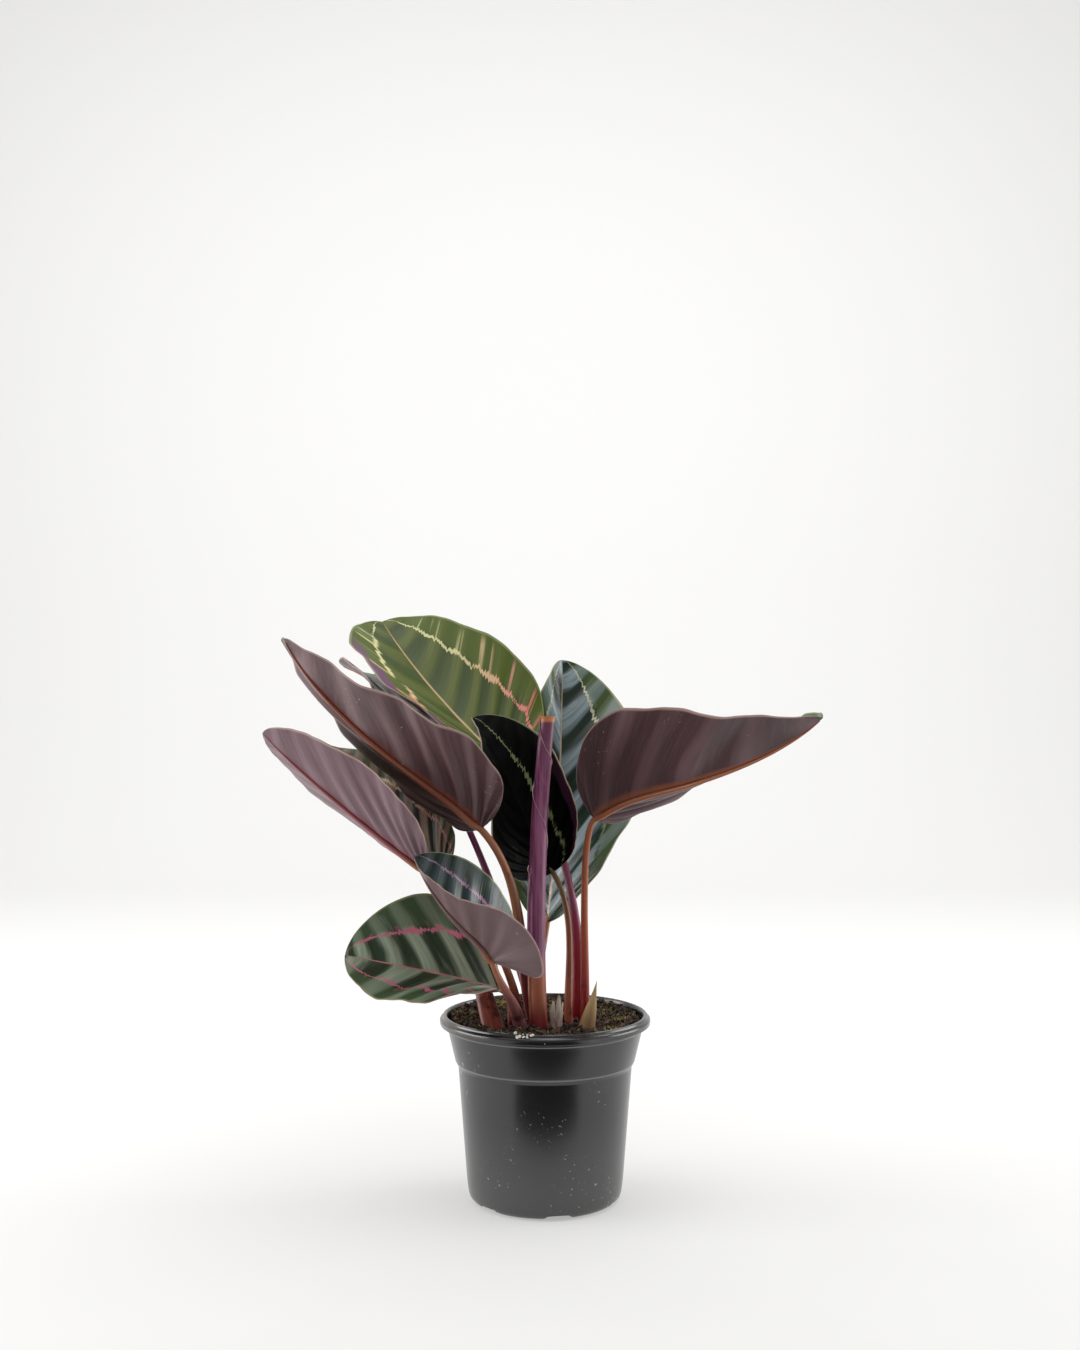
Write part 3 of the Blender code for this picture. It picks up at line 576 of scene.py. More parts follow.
# %% Upper face
@dataclass
class Look:
    """The colours of one leaf, and how strongly its pattern shows."""

    dark: tuple = (0.020, 0.050, 0.018)       # between the stripes
    light: tuple = (0.100, 0.170, 0.060)      # the stripes
    outer: tuple = (0.030, 0.080, 0.022)      # outside the band
    band_tip: tuple = (0.62, 0.60, 0.36)      # the band near the tip
    band_base: tuple = (0.62, 0.26, 0.26)     # and near the base
    rib: tuple = (0.50, 0.38, 0.26)
    edge: tuple = (0.30, 0.33, 0.14)
    under_dark: tuple = (0.075, 0.034, 0.042)
    under_light: tuple = (0.190, 0.118, 0.130)
    under_rib: tuple = (0.300, 0.095, 0.060)
    under_edge: tuple = (0.360, 0.240, 0.210)
    foot: tuple = (0.170, 0.022, 0.022)
    middle: tuple = (0.300, 0.100, 0.045)
    top: tuple = (0.300, 0.110, 0.055)
    band_at: float = 0.66                     # how far out from the rib the band lies
    band: float = 0.028                       # half its width
    jag: float = 0.065                        # how far it strays in and out
    band_left: float = 1.0                    # how much of it shows on the left half
    streak: float = 0.3                       # pale streaks that run out of the band along the veins
    streak_out: float = 0.12                  # how far past the band they go
    stripe: float = 1.0                       # how sharply the stripes part
    flap: tuple = (0.10, 0.03, 0.07)          # colour of a margin that has turned over
    flap_left: float = 2.0                    # where it starts on the left half; past 1 there is none
    flap_right: float = 2.0                   # and on the right half
    flap_to: float = 1.0                      # how far round the margin it goes
    stripe_base: tuple = None                 # colour the stripes fade to near the base
    gloss: float = 0.36                       # roughness of the upper face
    shine: float = 0.5                        # how strongly it mirrors
    seed: float = 0.0


@dataclass
class Numbers:
    """What a finish reads of its place on the blade."""

    turn: object           # 0 at the base to 1 at the tip, round the margin
    out: object            # 0 at the rib to 1 at the margin
    left: object           # 1 on the left half, 0 on the right
    half: object           # a number that differs between halves and leaves
    ridge: object          # the quilting's own wave, -1 to 1


def leaf_numbers(tree, leaf, seed):
    """Read the UV map and work out the quilting's wave again, so that colour follows relief; on the lower
    face this gives painted light and shade on the folds.
    """
    turn, across = surface_pair(tree)
    centred = across - 0.5
    left = centred.calc("GREATER_THAN", 0.0)
    drift = left * 2.0 + (leaf.phase / 40.0 - 1.0)
    slow = (turn * (3.0 * math.pi) + drift).calc("SINE")
    ridge = (turn * (2.0 * math.pi * leaf.ridges) + slow * QUILT_WANDER).calc("SINE")
    return Numbers(turn, abs(centred) * 2.0, left, left * 3.7 + seed, ridge)


def vein_noise(numbers, count, spread, shift=0.0, detail=2.0):
    """Noise in stripes along the side veins, count of them from base to tip."""
    return stretched_noise(numbers.turn * count, numbers.out * spread, numbers.half + shift, detail)


def either_half(numbers, left, right):
    """One number on the left half and another on the right."""
    return numbers.left * (left - right) + right


def jagged_band(numbers, look):
    """How much of the pale band shows: a line at band_at that strays in teeth, thins and breaks."""
    teeth = vein_noise(numbers, 120.0, 0.0, 11.0, 1.0) - 0.5
    slow = vein_noise(numbers, 20.0, 0.0, 14.0, 1.0) - 0.5
    stray = (teeth * 1.5 + slow) * (look.jag * 1.6)
    away = abs(numbers.out - (stray + look.band_at))
    breaks = vein_noise(numbers, 17.0, 0.0, 17.0, 1.0)
    width = step_up(breaks, 0.3, 0.7, look.band * 0.35, look.band * 1.6)
    return step_up(away, width * 0.5, width, 1.0, 0.0) * either_half(numbers, look.band_left, 1.0)


def upper_face(name, leaf, look):
    """The striped, banded upper face."""
    finish, tree = new_finish(f"{name}_upper")
    numbers = leaf_numbers(tree, leaf, look.seed)
    out, turn = numbers.out, numbers.turn
    uneven = (vein_noise(numbers, 34.0, 0.8) - 0.5) * 3.2
    stripe = step_up(numbers.ridge + uneven, -0.9 / look.stripe, 0.9 / look.stripe)
    light = mix(step_up(turn, 0.22, 0.50), look.stripe_base or look.light, look.light)
    inside = mix(stripe, look.dark, light)
    fine = step_up(vein_noise(numbers, 150.0, 1.2, 5.0), 0.35, 0.65, 0.0, 0.35)
    inside = mix(fine, inside, look.dark)
    outside = mix(stripe * 0.40, look.outer, light)
    band_ends = look.band_at + look.band
    body = mix(step_up(out, band_ends - 0.03, band_ends + 0.05), inside, outside)
    pale = mix(step_up(turn, 0.35, 0.75), look.band_base, look.band_tip)
    streaks = step_up(vein_noise(numbers, 42.0, 0.3, 23.0), 0.57, 0.66)
    far = look.band_at + look.streak_out
    reach = (step_up(out, look.band_at - 0.04, look.band_at + 0.02)
             * step_up(out, look.band_at + look.streak_out * 0.6, far, 1.0, 0.0))
    body = mix(streaks * reach * look.streak, body, pale)
    body = mix(jagged_band(numbers, look), body, pale)
    body = mix(step_up(out, 0.012, 0.028, 1.0, 0.0), body, look.rib)
    begins = either_half(numbers, look.flap_left, look.flap_right)
    ends = step_up(turn, 0.08, 0.16) * step_up(turn, look.flap_to - 0.1, look.flap_to, 1.0, 0.0)
    body = mix(step_up(out, begins, begins + 0.02) * ends, body, look.flap)
    body = mix(step_up(out, 0.972, 0.988, 0.0, 0.8), body, look.edge)
    veins = vein_noise(numbers, 130.0, 1.0, 31.0) + numbers.ridge * 0.5
    return painted(finish, body, look.gloss, look.shine, veins, 0.4, 0.0006)

# %% [markdown]
# The lower face is mauve to wine red, without the band. Its side veins show as soft ridges, and its colour
# turns lighter and darker with the same quilting, which is painted light and shade on the folds. The colour
# warms to pink or red along the rib, and small pale rubs and specks lie here and there.

# %% Lower face
UNDER_TIP = (0.060, 0.075, 0.030)    # colour of the lower face at the tip
UNDER_TIP_FROM = 0.93                # how far round the margin that starts


def lower_face(name, leaf, look):
    """The mauve lower face, ribbed along its side veins, with painted light and shade along its quilting."""
    finish, tree = new_finish(f"{name}_lower")
    numbers = leaf_numbers(tree, leaf, look.seed + 40.0)
    out = numbers.out
    uneven = (vein_noise(numbers, 20.0, 0.8) - 0.5) * 3.0
    # Painted light and shade: lighter and darker with the quilting's wave, mixed with random tone.
    body = mix(step_up(uneven - numbers.ridge, -0.4, 1.6), look.under_dark, look.under_light)
    fine = step_up(vein_noise(numbers, 120.0, 1.5, 5.0), 0.4, 0.7, 0.0, 0.25)
    body = mix(fine, body, look.under_light)
    body = mix(step_up(out, 0.03, 0.12, 0.75, 0.0), body, look.under_rib)
    body = mix(step_up(out, 0.965, 0.988, 0.0, 0.85), body, look.under_edge)
    tip = step_up(numbers.turn, UNDER_TIP_FROM, UNDER_TIP_FROM + 0.06, 0.0, 0.9)
    body = mix(tip, body, UNDER_TIP)
    rubs = noise(object_place(tree), 420.0, 3.0, 0.7)
    patches = noise(object_place(tree), 45.0, 1.0)
    specks = step_up(rubs, 0.64, 0.70) * step_up(patches, 0.55, 0.66, 0.0, 0.7)
    body = mix(specks, body, (0.45, 0.38, 0.36))
    veins = vein_noise(numbers, 110.0, 1.0, 31.0) + numbers.ridge * 0.6
    return painted(finish, body, 0.42, 0.35, veins, 0.4, 0.0006)

# %% [markdown]
# The stalk is succulent and fibrous: dark red at the foot, orange-brown or purple above, and its colour
# runs on into the rib under the blade.

# %% Stalk finish
BLADE_STARTS = (STALK_ROWS + 1.0) / (STALK_ROWS + RIB_ROWS + 1.0)


def stalk_face(name, look):
    """A colour that changes up the stalk, with fine lengthwise fibres."""
    finish, tree = new_finish(f"{name}_stalk")
    along, around = surface_pair(tree)
    body = mix(step_up(along, 0.04, BLADE_STARTS * 0.45), look.foot, look.middle)
    body = mix(step_up(along, BLADE_STARTS * 0.45, BLADE_STARTS), body, look.top)
    body = mix(step_up(along, BLADE_STARTS, BLADE_STARTS + 0.1), body, look.under_rib)
    fibres = stretched_noise(along * 9.0, around * 9.0, look.seed, 3.0)
    body = mix(step_up(fibres, 0.50, 0.75, 0.0, 0.35), body, (0.45, 0.27, 0.17))
    body = mix(step_up(fibres, 0.25, 0.48, 0.45, 0.0), body, (0.10, 0.02, 0.02))
    scars = step_up(noise(object_place(tree), 95.0, 3.0, 0.6), 0.52, 0.60)
    body = mix(scars * step_up(along, 0.06, 0.24, 0.75, 0.0), body, (0.045, 0.010, 0.010))
    return painted(finish, body, 0.34, 0.35, fibres, 0.3, 0.0004)

# %% [markdown]
# Now each leaf gets its own look, and its blade and stalk take the place of the plain solid.

# %% Make the leaves
LOOKS = {
    "leaf_top_back": Look(
        seed=1.0, dark=(0.03, 0.052, 0.005), light=(0.095, 0.115, 0.018), outer=(0.058, 0.088, 0.005),
        stripe=0.7, streak=0.75, streak_out=0.34, flap=(0.12, 0.045, 0.1), flap_left=0.84, flap_to=0.74,
        gloss=0.42, shine=0.2, band_tip=(0.56, 0.54, 0.26), band_base=(0.68, 0.2, 0.17),
        rib=(0.42, 0.28, 0.15), edge=(0.22, 0.25, 0.1), foot=(0.3, 0.006, 0.012),
        middle=(0.18, 0.04, 0.085), top=(0.15, 0.04, 0.09)),
    "leaf_left_upper": Look(
        seed=2.0, under_dark=(0.088, 0.043, 0.047), under_light=(0.19, 0.118, 0.124),
        under_rib=(0.24, 0.065, 0.035), middle=(0.27, 0.1, 0.038), dark=(0.01, 0.028, 0.01)),
    "leaf_left_middle": Look(
        seed=3.0, under_dark=(0.115, 0.062, 0.074), under_light=(0.185, 0.115, 0.132),
        under_rib=(0.3, 0.1, 0.11)),
    "leaf_left_back": Look(
        seed=4.0, dark=(0.008, 0.024, 0.006), light=(0.075, 0.11, 0.05), outer=(0.01, 0.03, 0.008),
        shine=0.3, band=0.015, foot=(0.15, 0.03, 0.06), middle=(0.13, 0.022, 0.08),
        top=(0.13, 0.022, 0.08)),
    "leaf_left_inner": Look(
        seed=5.0, light=(0.36, 0.26, 0.19), dark=(0.016, 0.022, 0.012), outer=(0.045, 0.06, 0.012),
        stripe=1.5, foot=(0.2, 0.04, 0.026), middle=(0.23, 0.07, 0.05), streak=0.6,
        under_dark=(0.1, 0.07, 0.06), under_light=(0.22, 0.15, 0.11)),
    # Painted shade: leaf_dark_center's stripes, rib and turned-over margin are coloured almost black for the
    # deep shade the leaf lies in. Its band, edge and stalk keep their own colours.
    "leaf_dark_center": Look(
        seed=6.0, dark=(0.001, 0.0012, 0.0009), light=(0.003, 0.004, 0.003),
        outer=(0.0012, 0.0014, 0.001), band_tip=(0.2, 0.24, 0.11), band_base=(0.18, 0.2, 0.1),
        rib=(0.006, 0.008, 0.005), band_at=0.42, band=0.035, jag=0.1, band_left=0.0, streak=0.1,
        flap=(0.04, 0.012, 0.026), flap_right=0.8, flap_to=0.62, edge=(0.26, 0.28, 0.16),
        foot=(0.38, 0.1, 0.06), middle=(0.22, 0.06, 0.022), top=(0.09, 0.06, 0.02), shine=0.08, gloss=0.5),
    # Partly painted reflection: leaf_upright's pale stripes are the leaf's own, and their bluish silver
    # stands for the bright surroundings mirrored in them.
    "leaf_upright": Look(
        seed=7.0, dark=(0.007, 0.02, 0.012), light=(0.26, 0.33, 0.36), outer=(0.045, 0.075, 0.016),
        streak=0.2, gloss=0.28, stripe=1.3, band_tip=(0.5, 0.5, 0.34), band_base=(0.045, 0.07, 0.02),
        stripe_base=(0.035, 0.06, 0.02)),
    "leaf_right": Look(
        seed=8.0, under_dark=(0.054, 0.024, 0.027), under_light=(0.125, 0.068, 0.075),
        under_rib=(0.27, 0.085, 0.034), foot=(0.28, 0.008, 0.01), middle=(0.33, 0.075, 0.028),
        top=(0.3, 0.095, 0.038)),
    "leaf_low_left": Look(
        seed=9.0, dark=(0.026, 0.05, 0.02), light=(0.4, 0.48, 0.35), outer=(0.055, 0.1, 0.04), stripe=1.1,
        gloss=0.3, rib=(0.62, 0.22, 0.22), band_tip=(0.68, 0.18, 0.28), band_base=(0.68, 0.2, 0.3),
        band_at=0.62, band=0.035, jag=0.05, foot=(0.2, 0.05, 0.05), middle=(0.25, 0.08, 0.05)),
    # Partly painted reflection: leaf_low_front's stripes are the leaf's own, and their teal tint stands for
    # the bright surroundings mirrored in the dark leaf.
    "leaf_low_front": Look(
        seed=10.0, dark=(0.008, 0.026, 0.022), light=(0.07, 0.1, 0.11), outer=(0.01, 0.028, 0.018),
        under_dark=(0.14, 0.088, 0.092), under_light=(0.175, 0.118, 0.122), under_rib=(0.17, 0.1, 0.1),
        band_tip=(0.4, 0.22, 0.34), band_base=(0.4, 0.22, 0.34), gloss=0.3, foot=(0.24, 0.075, 0.085),
        middle=(0.26, 0.1, 0.1)),
}

for name, leaf in LEAVES.items():
    look = LOOKS[name]
    points, faces, uvs, finish = blade_arrays(leaf)
    finishes = [upper_face(name, leaf, look), lower_face(name, leaf, look)]
    settle(make_piece(f"{name}_blade", points, faces, uvs, finishes, finish), name, name)
    points, faces, uvs = stalk_arrays(leaf)
    settle(make_piece(f"{name}_stalk", points, faces, uvs, [stalk_face(name, look)]), name, name)

# %% [markdown]
# ## The rolled new leaf
#
# A calathea pushes each new leaf up as a tight roll, purple side out. A plain rod would miss what makes
# it one: a thin sheet wound round itself, whose free edge runs down the outside as a slanting line. So
# the sheet is wound here for real. Its radius grows a little with every turn, and its top edge, cut
# short and browned at the very top, falls as it winds outwards.

# %% Rolled leaf numbers
ROLL_FOOT = (-3.5, -13.0)
ROLL_TOP = (1.6, -12.0, 274.6)
ROLL_BOW = -3.5
ROLL_WOUND = 3.2                     # turns from the inside to the free edge
ROLL_INSIDE = 3.7
ROLL_OUTSIDE = 5.1
ROLL_STARTS = 150.0                  # the direction the inner end points in, degrees
ROLL_EDGE_TURNS = (0.0, 1.05, 1.35, 1.62, 2.1, 2.42, 2.62, 3.2)
ROLL_EDGE_HEIGHTS = (274.6, 274.6, 257.0, 247.0, 233.0, 216.0, 200.0, 186.0)
SHEET_THICKNESS = 0.4


def roll_center(height):
    """The roll's slightly bowed centre line at given heights."""
    foot, top = np.array([*ROLL_FOOT, SOIL_TOP]), np.array(ROLL_TOP)
    share = ((np.asarray(height, float) - SOIL_TOP) / (ROLL_TOP[2] - SOIL_TOP))[..., None]
    bow = np.array([ROLL_BOW, 0.0, 0.0]) * 4.0 * share * (1.0 - share)
    return foot + (top - foot) * share + bow


def outward(angle):
    """Level directions at given angles, in radians."""
    return np.stack([np.cos(angle), np.sin(angle), np.zeros_like(angle)], -1)


def wound_sheet():
    """The sheet's middle surface, its outward directions and UVs: height and depth below the edge."""
    wound = np.linspace(0.0, ROLL_WOUND, 150)
    edge = np.interp(wound, ROLL_EDGE_TURNS, ROLL_EDGE_HEIGHTS)
    rise = np.concatenate([np.linspace(0.0, 0.965, 60), np.linspace(0.97, 1.0, 12)])
    rise, wound = np.meshgrid(rise, wound, indexing="ij")
    bottom = SOIL_TOP - STALK_SUNK
    height = bottom + (edge[None, :] - bottom) * rise
    flare = 0.35 * np.clip(1.0 - (edge[None, :] - height) / 2.5, 0.0, 1.0) ** 2
    reach = ROLL_INSIDE + (ROLL_OUTSIDE - ROLL_INSIDE) * wound / ROLL_WOUND + flare
    out = outward(np.radians(ROLL_STARTS) + 2.0 * np.pi * wound)
    uvs = np.stack([(height - bottom) / (ROLL_TOP[2] - bottom), (edge[None, :] - height) / 100.0], -1)
    return roll_center(height) + out * reach[..., None], out, uvs


def sheet_solid(grid, out, uvs, thickness):
    """A thin closed sheet from its middle surface: two faces and a band round all four edges."""
    rows, columns = grid.shape[:2]
    count = rows * columns
    faces = [grid + out * thickness / 2.0, grid - out * thickness / 2.0]
    points = np.concatenate([face.reshape(-1, 3) for face in faces])
    sheet = grid_faces(rows, columns)
    border = np.concatenate([
        np.arange(columns), np.arange(1, rows) * columns + columns - 1,
        (rows - 1) * columns + np.arange(columns - 2, -1, -1), np.arange(rows - 2, 0, -1) * columns,
    ])
    after = np.roll(border, -1)
    band = np.stack([border, after, after + count, border + count], -1)
    return points, np.concatenate([sheet, sheet + count, band]), np.tile(uvs.reshape(-1, 2), (2, 1))

# %% [markdown]
# Its colour changes with height: brown-red at the foot, orange-brown above the soil, then purple that
# deepens towards the top. The free edge shows as a fine pale line, and the cut top is orange.

# %% Rolled leaf
def roll_face():
    """Purple with fine lengthwise folds, a pale free edge and an orange cut top."""
    finish, tree = new_finish("roll_purple")
    height, below = surface_pair(tree)
    folds = stretched_noise(height * 5.0, below * 9.0, 4.0, 3.0)
    stretched = tree.nodes.new("ShaderNodeMapping")
    stretched.inputs["Scale"].default_value = (900.0, 900.0, 25.0)
    wire(object_place(tree), stretched.inputs["Vector"])
    fibres = noise(Value(stretched.outputs[0]), 1.0, 3.0)
    purple = mix(step_up(fibres, 0.35, 0.65), (0.120, 0.022, 0.066), (0.260, 0.070, 0.165))
    purple = mix(step_up(height, 0.80, 0.95, 0.0, 0.8), purple, (0.100, 0.022, 0.055))
    purple = mix(step_up(folds, 0.45, 0.7, 0.0, 0.5), purple, (0.27, 0.075, 0.15))
    body = mix(step_up(height, 0.19, 0.30), (0.330, 0.088, 0.040), purple)
    body = mix(step_up(height, 0.045, 0.13), (0.280, 0.022, 0.040), body)
    body = mix(step_up(below, 0.003, 0.007, 0.75, 0.0), body, (0.60, 0.33, 0.35))
    cut = step_up(height, 0.972, 0.988) * step_up(below, 0.02, 0.04, 1.0, 0.0)
    body = mix(cut, body, (0.50, 0.18, 0.06))
    return painted(finish, body, 0.38, 0.5, fibres, 0.25, 0.0005)


points, faces, uvs = sheet_solid(*wound_sheet(), SHEET_THICKNESS)
settle(make_piece("leaf_rolled_sheet", points, faces, uvs, [roll_face()]), "roll", "leaf_rolled")

# %% [markdown]
# ## Old sheaths
#
# Each stalk grows up out of a sheath, and old sheaths stay behind when their leaves are gone. A tan one
# still stands as a pointed shard with a dark, dried-up tip, and a bleached one has split into fibres.
# Both are strips bent round a stem that is no longer there, so both start from one curved strip.

# %% Old sheaths
TAN_SHEATH_AT = (23.0, -16.0)
TAN_SHEATH_HEIGHT = 28.0
TAN_SHEATH_RADIUS = 5.0
TAN_SHEATH_LEAN = (6.0, -1.0)
DRY_SHEATH_AT = (6.0, -15.0)
DRY_SHEATH_HEIGHT = 20.0
DRY_SHEATH_RADIUS = 3.6
SHEATH_SUNK = 6.0
STRIP_ROWS = 30


def curved_strip(at, radius, lean, heights, wrap, taper):
    """A strip bent round an upright line, its top edge given by heights: surface, outward ways, UVs."""
    share, across = np.linspace(0.0, 1.0, STRIP_ROWS), np.linspace(-1.0, 1.0, len(heights))
    share, across = np.meshgrid(share, across, indexing="ij")
    height = -SHEATH_SUNK + (SHEATH_SUNK + heights[None, :]) * share
    above = np.maximum(height, 0.0) / heights.max()
    reach = radius * (1.0 - taper * above)
    out = outward(np.radians(-90.0 + wrap * across))
    middle = np.stack([at[0] + lean[0] * above, at[1] + lean[1] * above, SOIL_TOP + height], -1)
    return middle + out * reach[..., None], out, np.stack([above, (across + 1.0) / 2.0], -1)


def fibrous(name, low, high, tip, threads):
    """A dry, fibrous finish that runs from low to high along its length, and to another colour at its tip."""
    finish, tree = new_finish(name)
    along, across = surface_pair(tree)
    fibres = stretched_noise(along * 3.0, across * 22.0, 0.0, 4.0)
    body = mix(step_up(along, 0.1, 0.7), low, high)
    body = mix(step_up(fibres, 0.42, 0.68, 0.0, 0.8), body, threads)
    body = mix(step_up(along, 0.86, 0.98), body, tip)
    return painted(finish, body, 0.7, 0.5, fibres, 0.5, 0.0005)


across = np.linspace(-1.0, 1.0, 41)
pointed = TAN_SHEATH_HEIGHT * (1.0 - 0.8 * np.abs(across) ** 1.1)
tan_finish = fibrous("sheath_tan_skin", (0.30, 0.17, 0.07), (0.52, 0.36, 0.17), (0.06, 0.05, 0.04),
                     (0.36, 0.20, 0.09))
strip = curved_strip(TAN_SHEATH_AT, TAN_SHEATH_RADIUS - 0.3, TAN_SHEATH_LEAN, pointed, 95.0, 0.75)
settle(make_piece("sheath_tan_strip", *sheet_solid(*strip, 0.5), [tan_finish]), "tan_sheath", "sheath_tan")

across = np.linspace(-1.0, 1.0, 73)
strips = np.abs(np.sin(4.6 * across + 0.4)) ** 0.5
torn = DRY_SHEATH_HEIGHT * (0.30 + 0.55 * strips + 0.15 * np.sin(3.0 * across + 1.0))
dry_finish = fibrous("sheath_dry_skin", (0.24, 0.10, 0.08), (0.52, 0.42, 0.34), (0.42, 0.30, 0.20),
                     (0.66, 0.58, 0.52))
strip = curved_strip(DRY_SHEATH_AT, DRY_SHEATH_RADIUS - 0.3, (0.5, -0.5), torn, 85.0, -0.1)
settle(make_piece("sheath_dry_strip", *sheet_solid(*strip, 0.4), [dry_finish]), "dry_sheath", "sheath_dry")

# %% [markdown]
# A leaf's own sheath is part of its stalk: a strip of the same flesh that wraps the foot of the stalk
# and ends in a point. It is the curved strip again, wound about the stalk's leaning line.

# %% Leaf sheaths
def wrapped_strip(leaf, top, radii, facing, wrap):
    """A strip round a stalk, from under the soil to a share of the stalk's length, drawn in to a point."""
    share, across = np.meshgrid(np.linspace(0.0, top, 60), np.linspace(-1.0, 1.0, 33), indexing="ij")
    centers, _, way = stalk_curve(leaf, share[:, 0])
    rise = share / top
    reach = radii[0] + (radii[1] - radii[0]) * rise
    narrow = np.sqrt(np.clip(1.0 - rise, 0.0, 1.0)) * 0.93 + 0.07
    out = outward(np.radians(facing + wrap * across * narrow))
    sunk = np.clip(1.0 - rise / 0.06, 0.0, 1.0)[..., None] * way * SHEATH_SUNK
    grid = centers[:, None] + out * reach[..., None] - sunk
    return grid, out, np.stack([rise, (across + 1.0) / 2.0], -1)


def flesh(name, low, high, edge):
    """Smooth living sheath: a colour that runs from low to high, lengthwise fibres and a pale margin."""
    finish, tree = new_finish(name)
    rise, across = surface_pair(tree)
    fibres = stretched_noise(rise * 5.0, across * 16.0, 0.0, 3.0)
    body = mix(step_up(rise, 0.3, 1.0), low, high)
    body = mix(step_up(fibres, 0.5, 0.75, 0.0, 0.35), body, high)
    body = mix(step_up(abs(across - 0.5), 0.455, 0.49, 0.0, 0.8), body, edge)
    return painted(finish, body, 0.32, 0.4, fibres, 0.3, 0.0004)


LEAF_SHEATHS = (
    ("leaf_top_back", 0.40, (5.4, 2.7), -95.0, 95.0,
     (0.26, 0.006, 0.012), (0.20, 0.020, 0.050), (0.30, 0.05, 0.08)),
    ("leaf_left_upper", 0.75, (3.7, 2.9), -60.0, 80.0,
     (0.16, 0.03, 0.03), (0.24, 0.10, 0.045), (0.48, 0.30, 0.20)),
)
for name, top, radii, facing, wrap, low, high, edge in LEAF_SHEATHS:
    sheet = sheet_solid(*wrapped_strip(LEAVES[name], top, radii, facing, wrap), 0.35)
    piece = make_piece(f"{name}_sheath", *sheet, [flesh(f"{name}_sheath_skin", low, high, edge)])
    settle(piece, name, name)

# %% [markdown]
# ## Soil
#
# The compost is coarse: dark crumbs, bark, a little white perlite, and moss that has grown over it in
# gold-green tufts. A bumpy surface alone looks like putty, so a lumpy plug carries a few thousand small
# loose crumbs and moss leaves. Each is a solid with few faces, and all of one kind are worked out at
# once and make one mesh, with places, sizes and turns drawn from a seeded rule.

# %% Soil surface
SOIL_EDGE_RADIUS = 53.9
SOIL_LUMP = 1.3
SOIL_BANK = 4.2                      # how far it is banked up against the wall, most at the back left
POT_FLOOR = 4.2


def soil_height(x, y):
    """The top of the soil: slow waves, lumps of a centimetre, crumbs, and the bank along the wall."""
    slow = np.sin(x * 0.21 + 1.0) * np.cos(y * 0.17) + 0.6 * np.sin(x * 0.09 - y * 0.31 + 2.0)
    lumps = np.sin(x * 0.61 + 2.0 * np.sin(y * 0.4)) * np.sin(y * 0.53 + 1.5 * np.sin(x * 0.35 + 1.0))
    fine = np.sin(x * 1.7 + 2.0 * np.sin(y * 1.1)) * np.sin(y * 1.9 + 2.0 * np.sin(x * 1.3))
    near_wall = np.clip((np.hypot(x, y) - 36.0) / 15.0, 0.0, 1.0) ** 1.5
    banked = SOIL_BANK * near_wall * (0.7 + 0.3 * np.sin(np.arctan2(y, x) - 0.6))
    return SOIL_TOP + SOIL_LUMP * slow / 1.6 + 0.9 * lumps + 0.35 * fine + banked


def soil_plug():
    """The plug: a fine lumpy top, a wall just inside the pot and a flat bottom."""
    turn = np.linspace(0.0, 2.0 * np.pi, 192, endpoint=False)
    top = np.linspace(0.0, SOIL_EDGE_RADIUS, 64)
    wall = [(53.2, 97.0), (50.0, 78.0), (47.8, 74.0), (42.8, 12.0), (38.0, 4.8), (0.0, 4.8)]
    rings = [(radius, None) for radius in top] + wall
    points = []
    for radius, height in rings:
        x, y = radius * np.cos(turn), radius * np.sin(turn)
        z = soil_height(x, y) if height is None else np.full_like(x, height)
        points.append(np.stack([x, y, z], -1))
    points = np.concatenate(points)
    return points, grid_faces(len(rings), len(turn), closed=True), points[:, :2] / 100.0


def soil_face():
    """Dark, rough compost, browner on its bumps."""
    finish, tree = new_finish("compost")
    place = object_place(tree)
    coarse, fine = noise(place, 220.0, 4.0, 0.7), noise(place, 900.0, 3.0, 0.7)
    body = mix(step_up(coarse, 0.35, 0.7), (0.010, 0.007, 0.005), (0.060, 0.034, 0.018))
    body = mix(step_up(fine, 0.55, 0.75, 0.0, 0.6), body, (0.13, 0.09, 0.045))
    return painted(finish, body, 0.9, 0.5, coarse + fine, 1.0, 0.002)


settle(make_piece("soil_plug", *soil_plug(), [soil_face()]), "soil", "soil")

# %% [markdown]
# A crumb could be a smooth sphere. A ball of twenty faces, with its corners pushed in and out and then
# squashed, is rougher and light enough to make by the thousand. Three kinds differ in size, in form and
# in colour: dark grit, pale fibres and flakes of bark.

# %% Crumbs
def ball():
    """A twelve-cornered ball of unit radius: its points and its twenty faces."""
    golden = (1.0 + 5.0 ** 0.5) / 2.0
    points = [(-1, golden, 0), (1, golden, 0), (-1, -golden, 0), (1, -golden, 0),
              (0, -1, golden), (0, 1, golden), (0, -1, -golden), (0, 1, -golden),
              (golden, 0, -1), (golden, 0, 1), (-golden, 0, -1), (-golden, 0, 1)]
    faces = [(0, 11, 5), (0, 5, 1), (0, 1, 7), (0, 7, 10), (0, 10, 11), (1, 5, 9), (5, 11, 4),
             (11, 10, 2), (10, 7, 6), (7, 1, 8), (3, 9, 4), (3, 4, 2), (3, 2, 6), (3, 6, 8),
             (3, 8, 9), (4, 9, 5), (2, 4, 11), (6, 2, 10), (8, 6, 7), (9, 8, 1)]
    points = np.array(points, float)
    return points / np.linalg.norm(points[0]), np.array(faces)


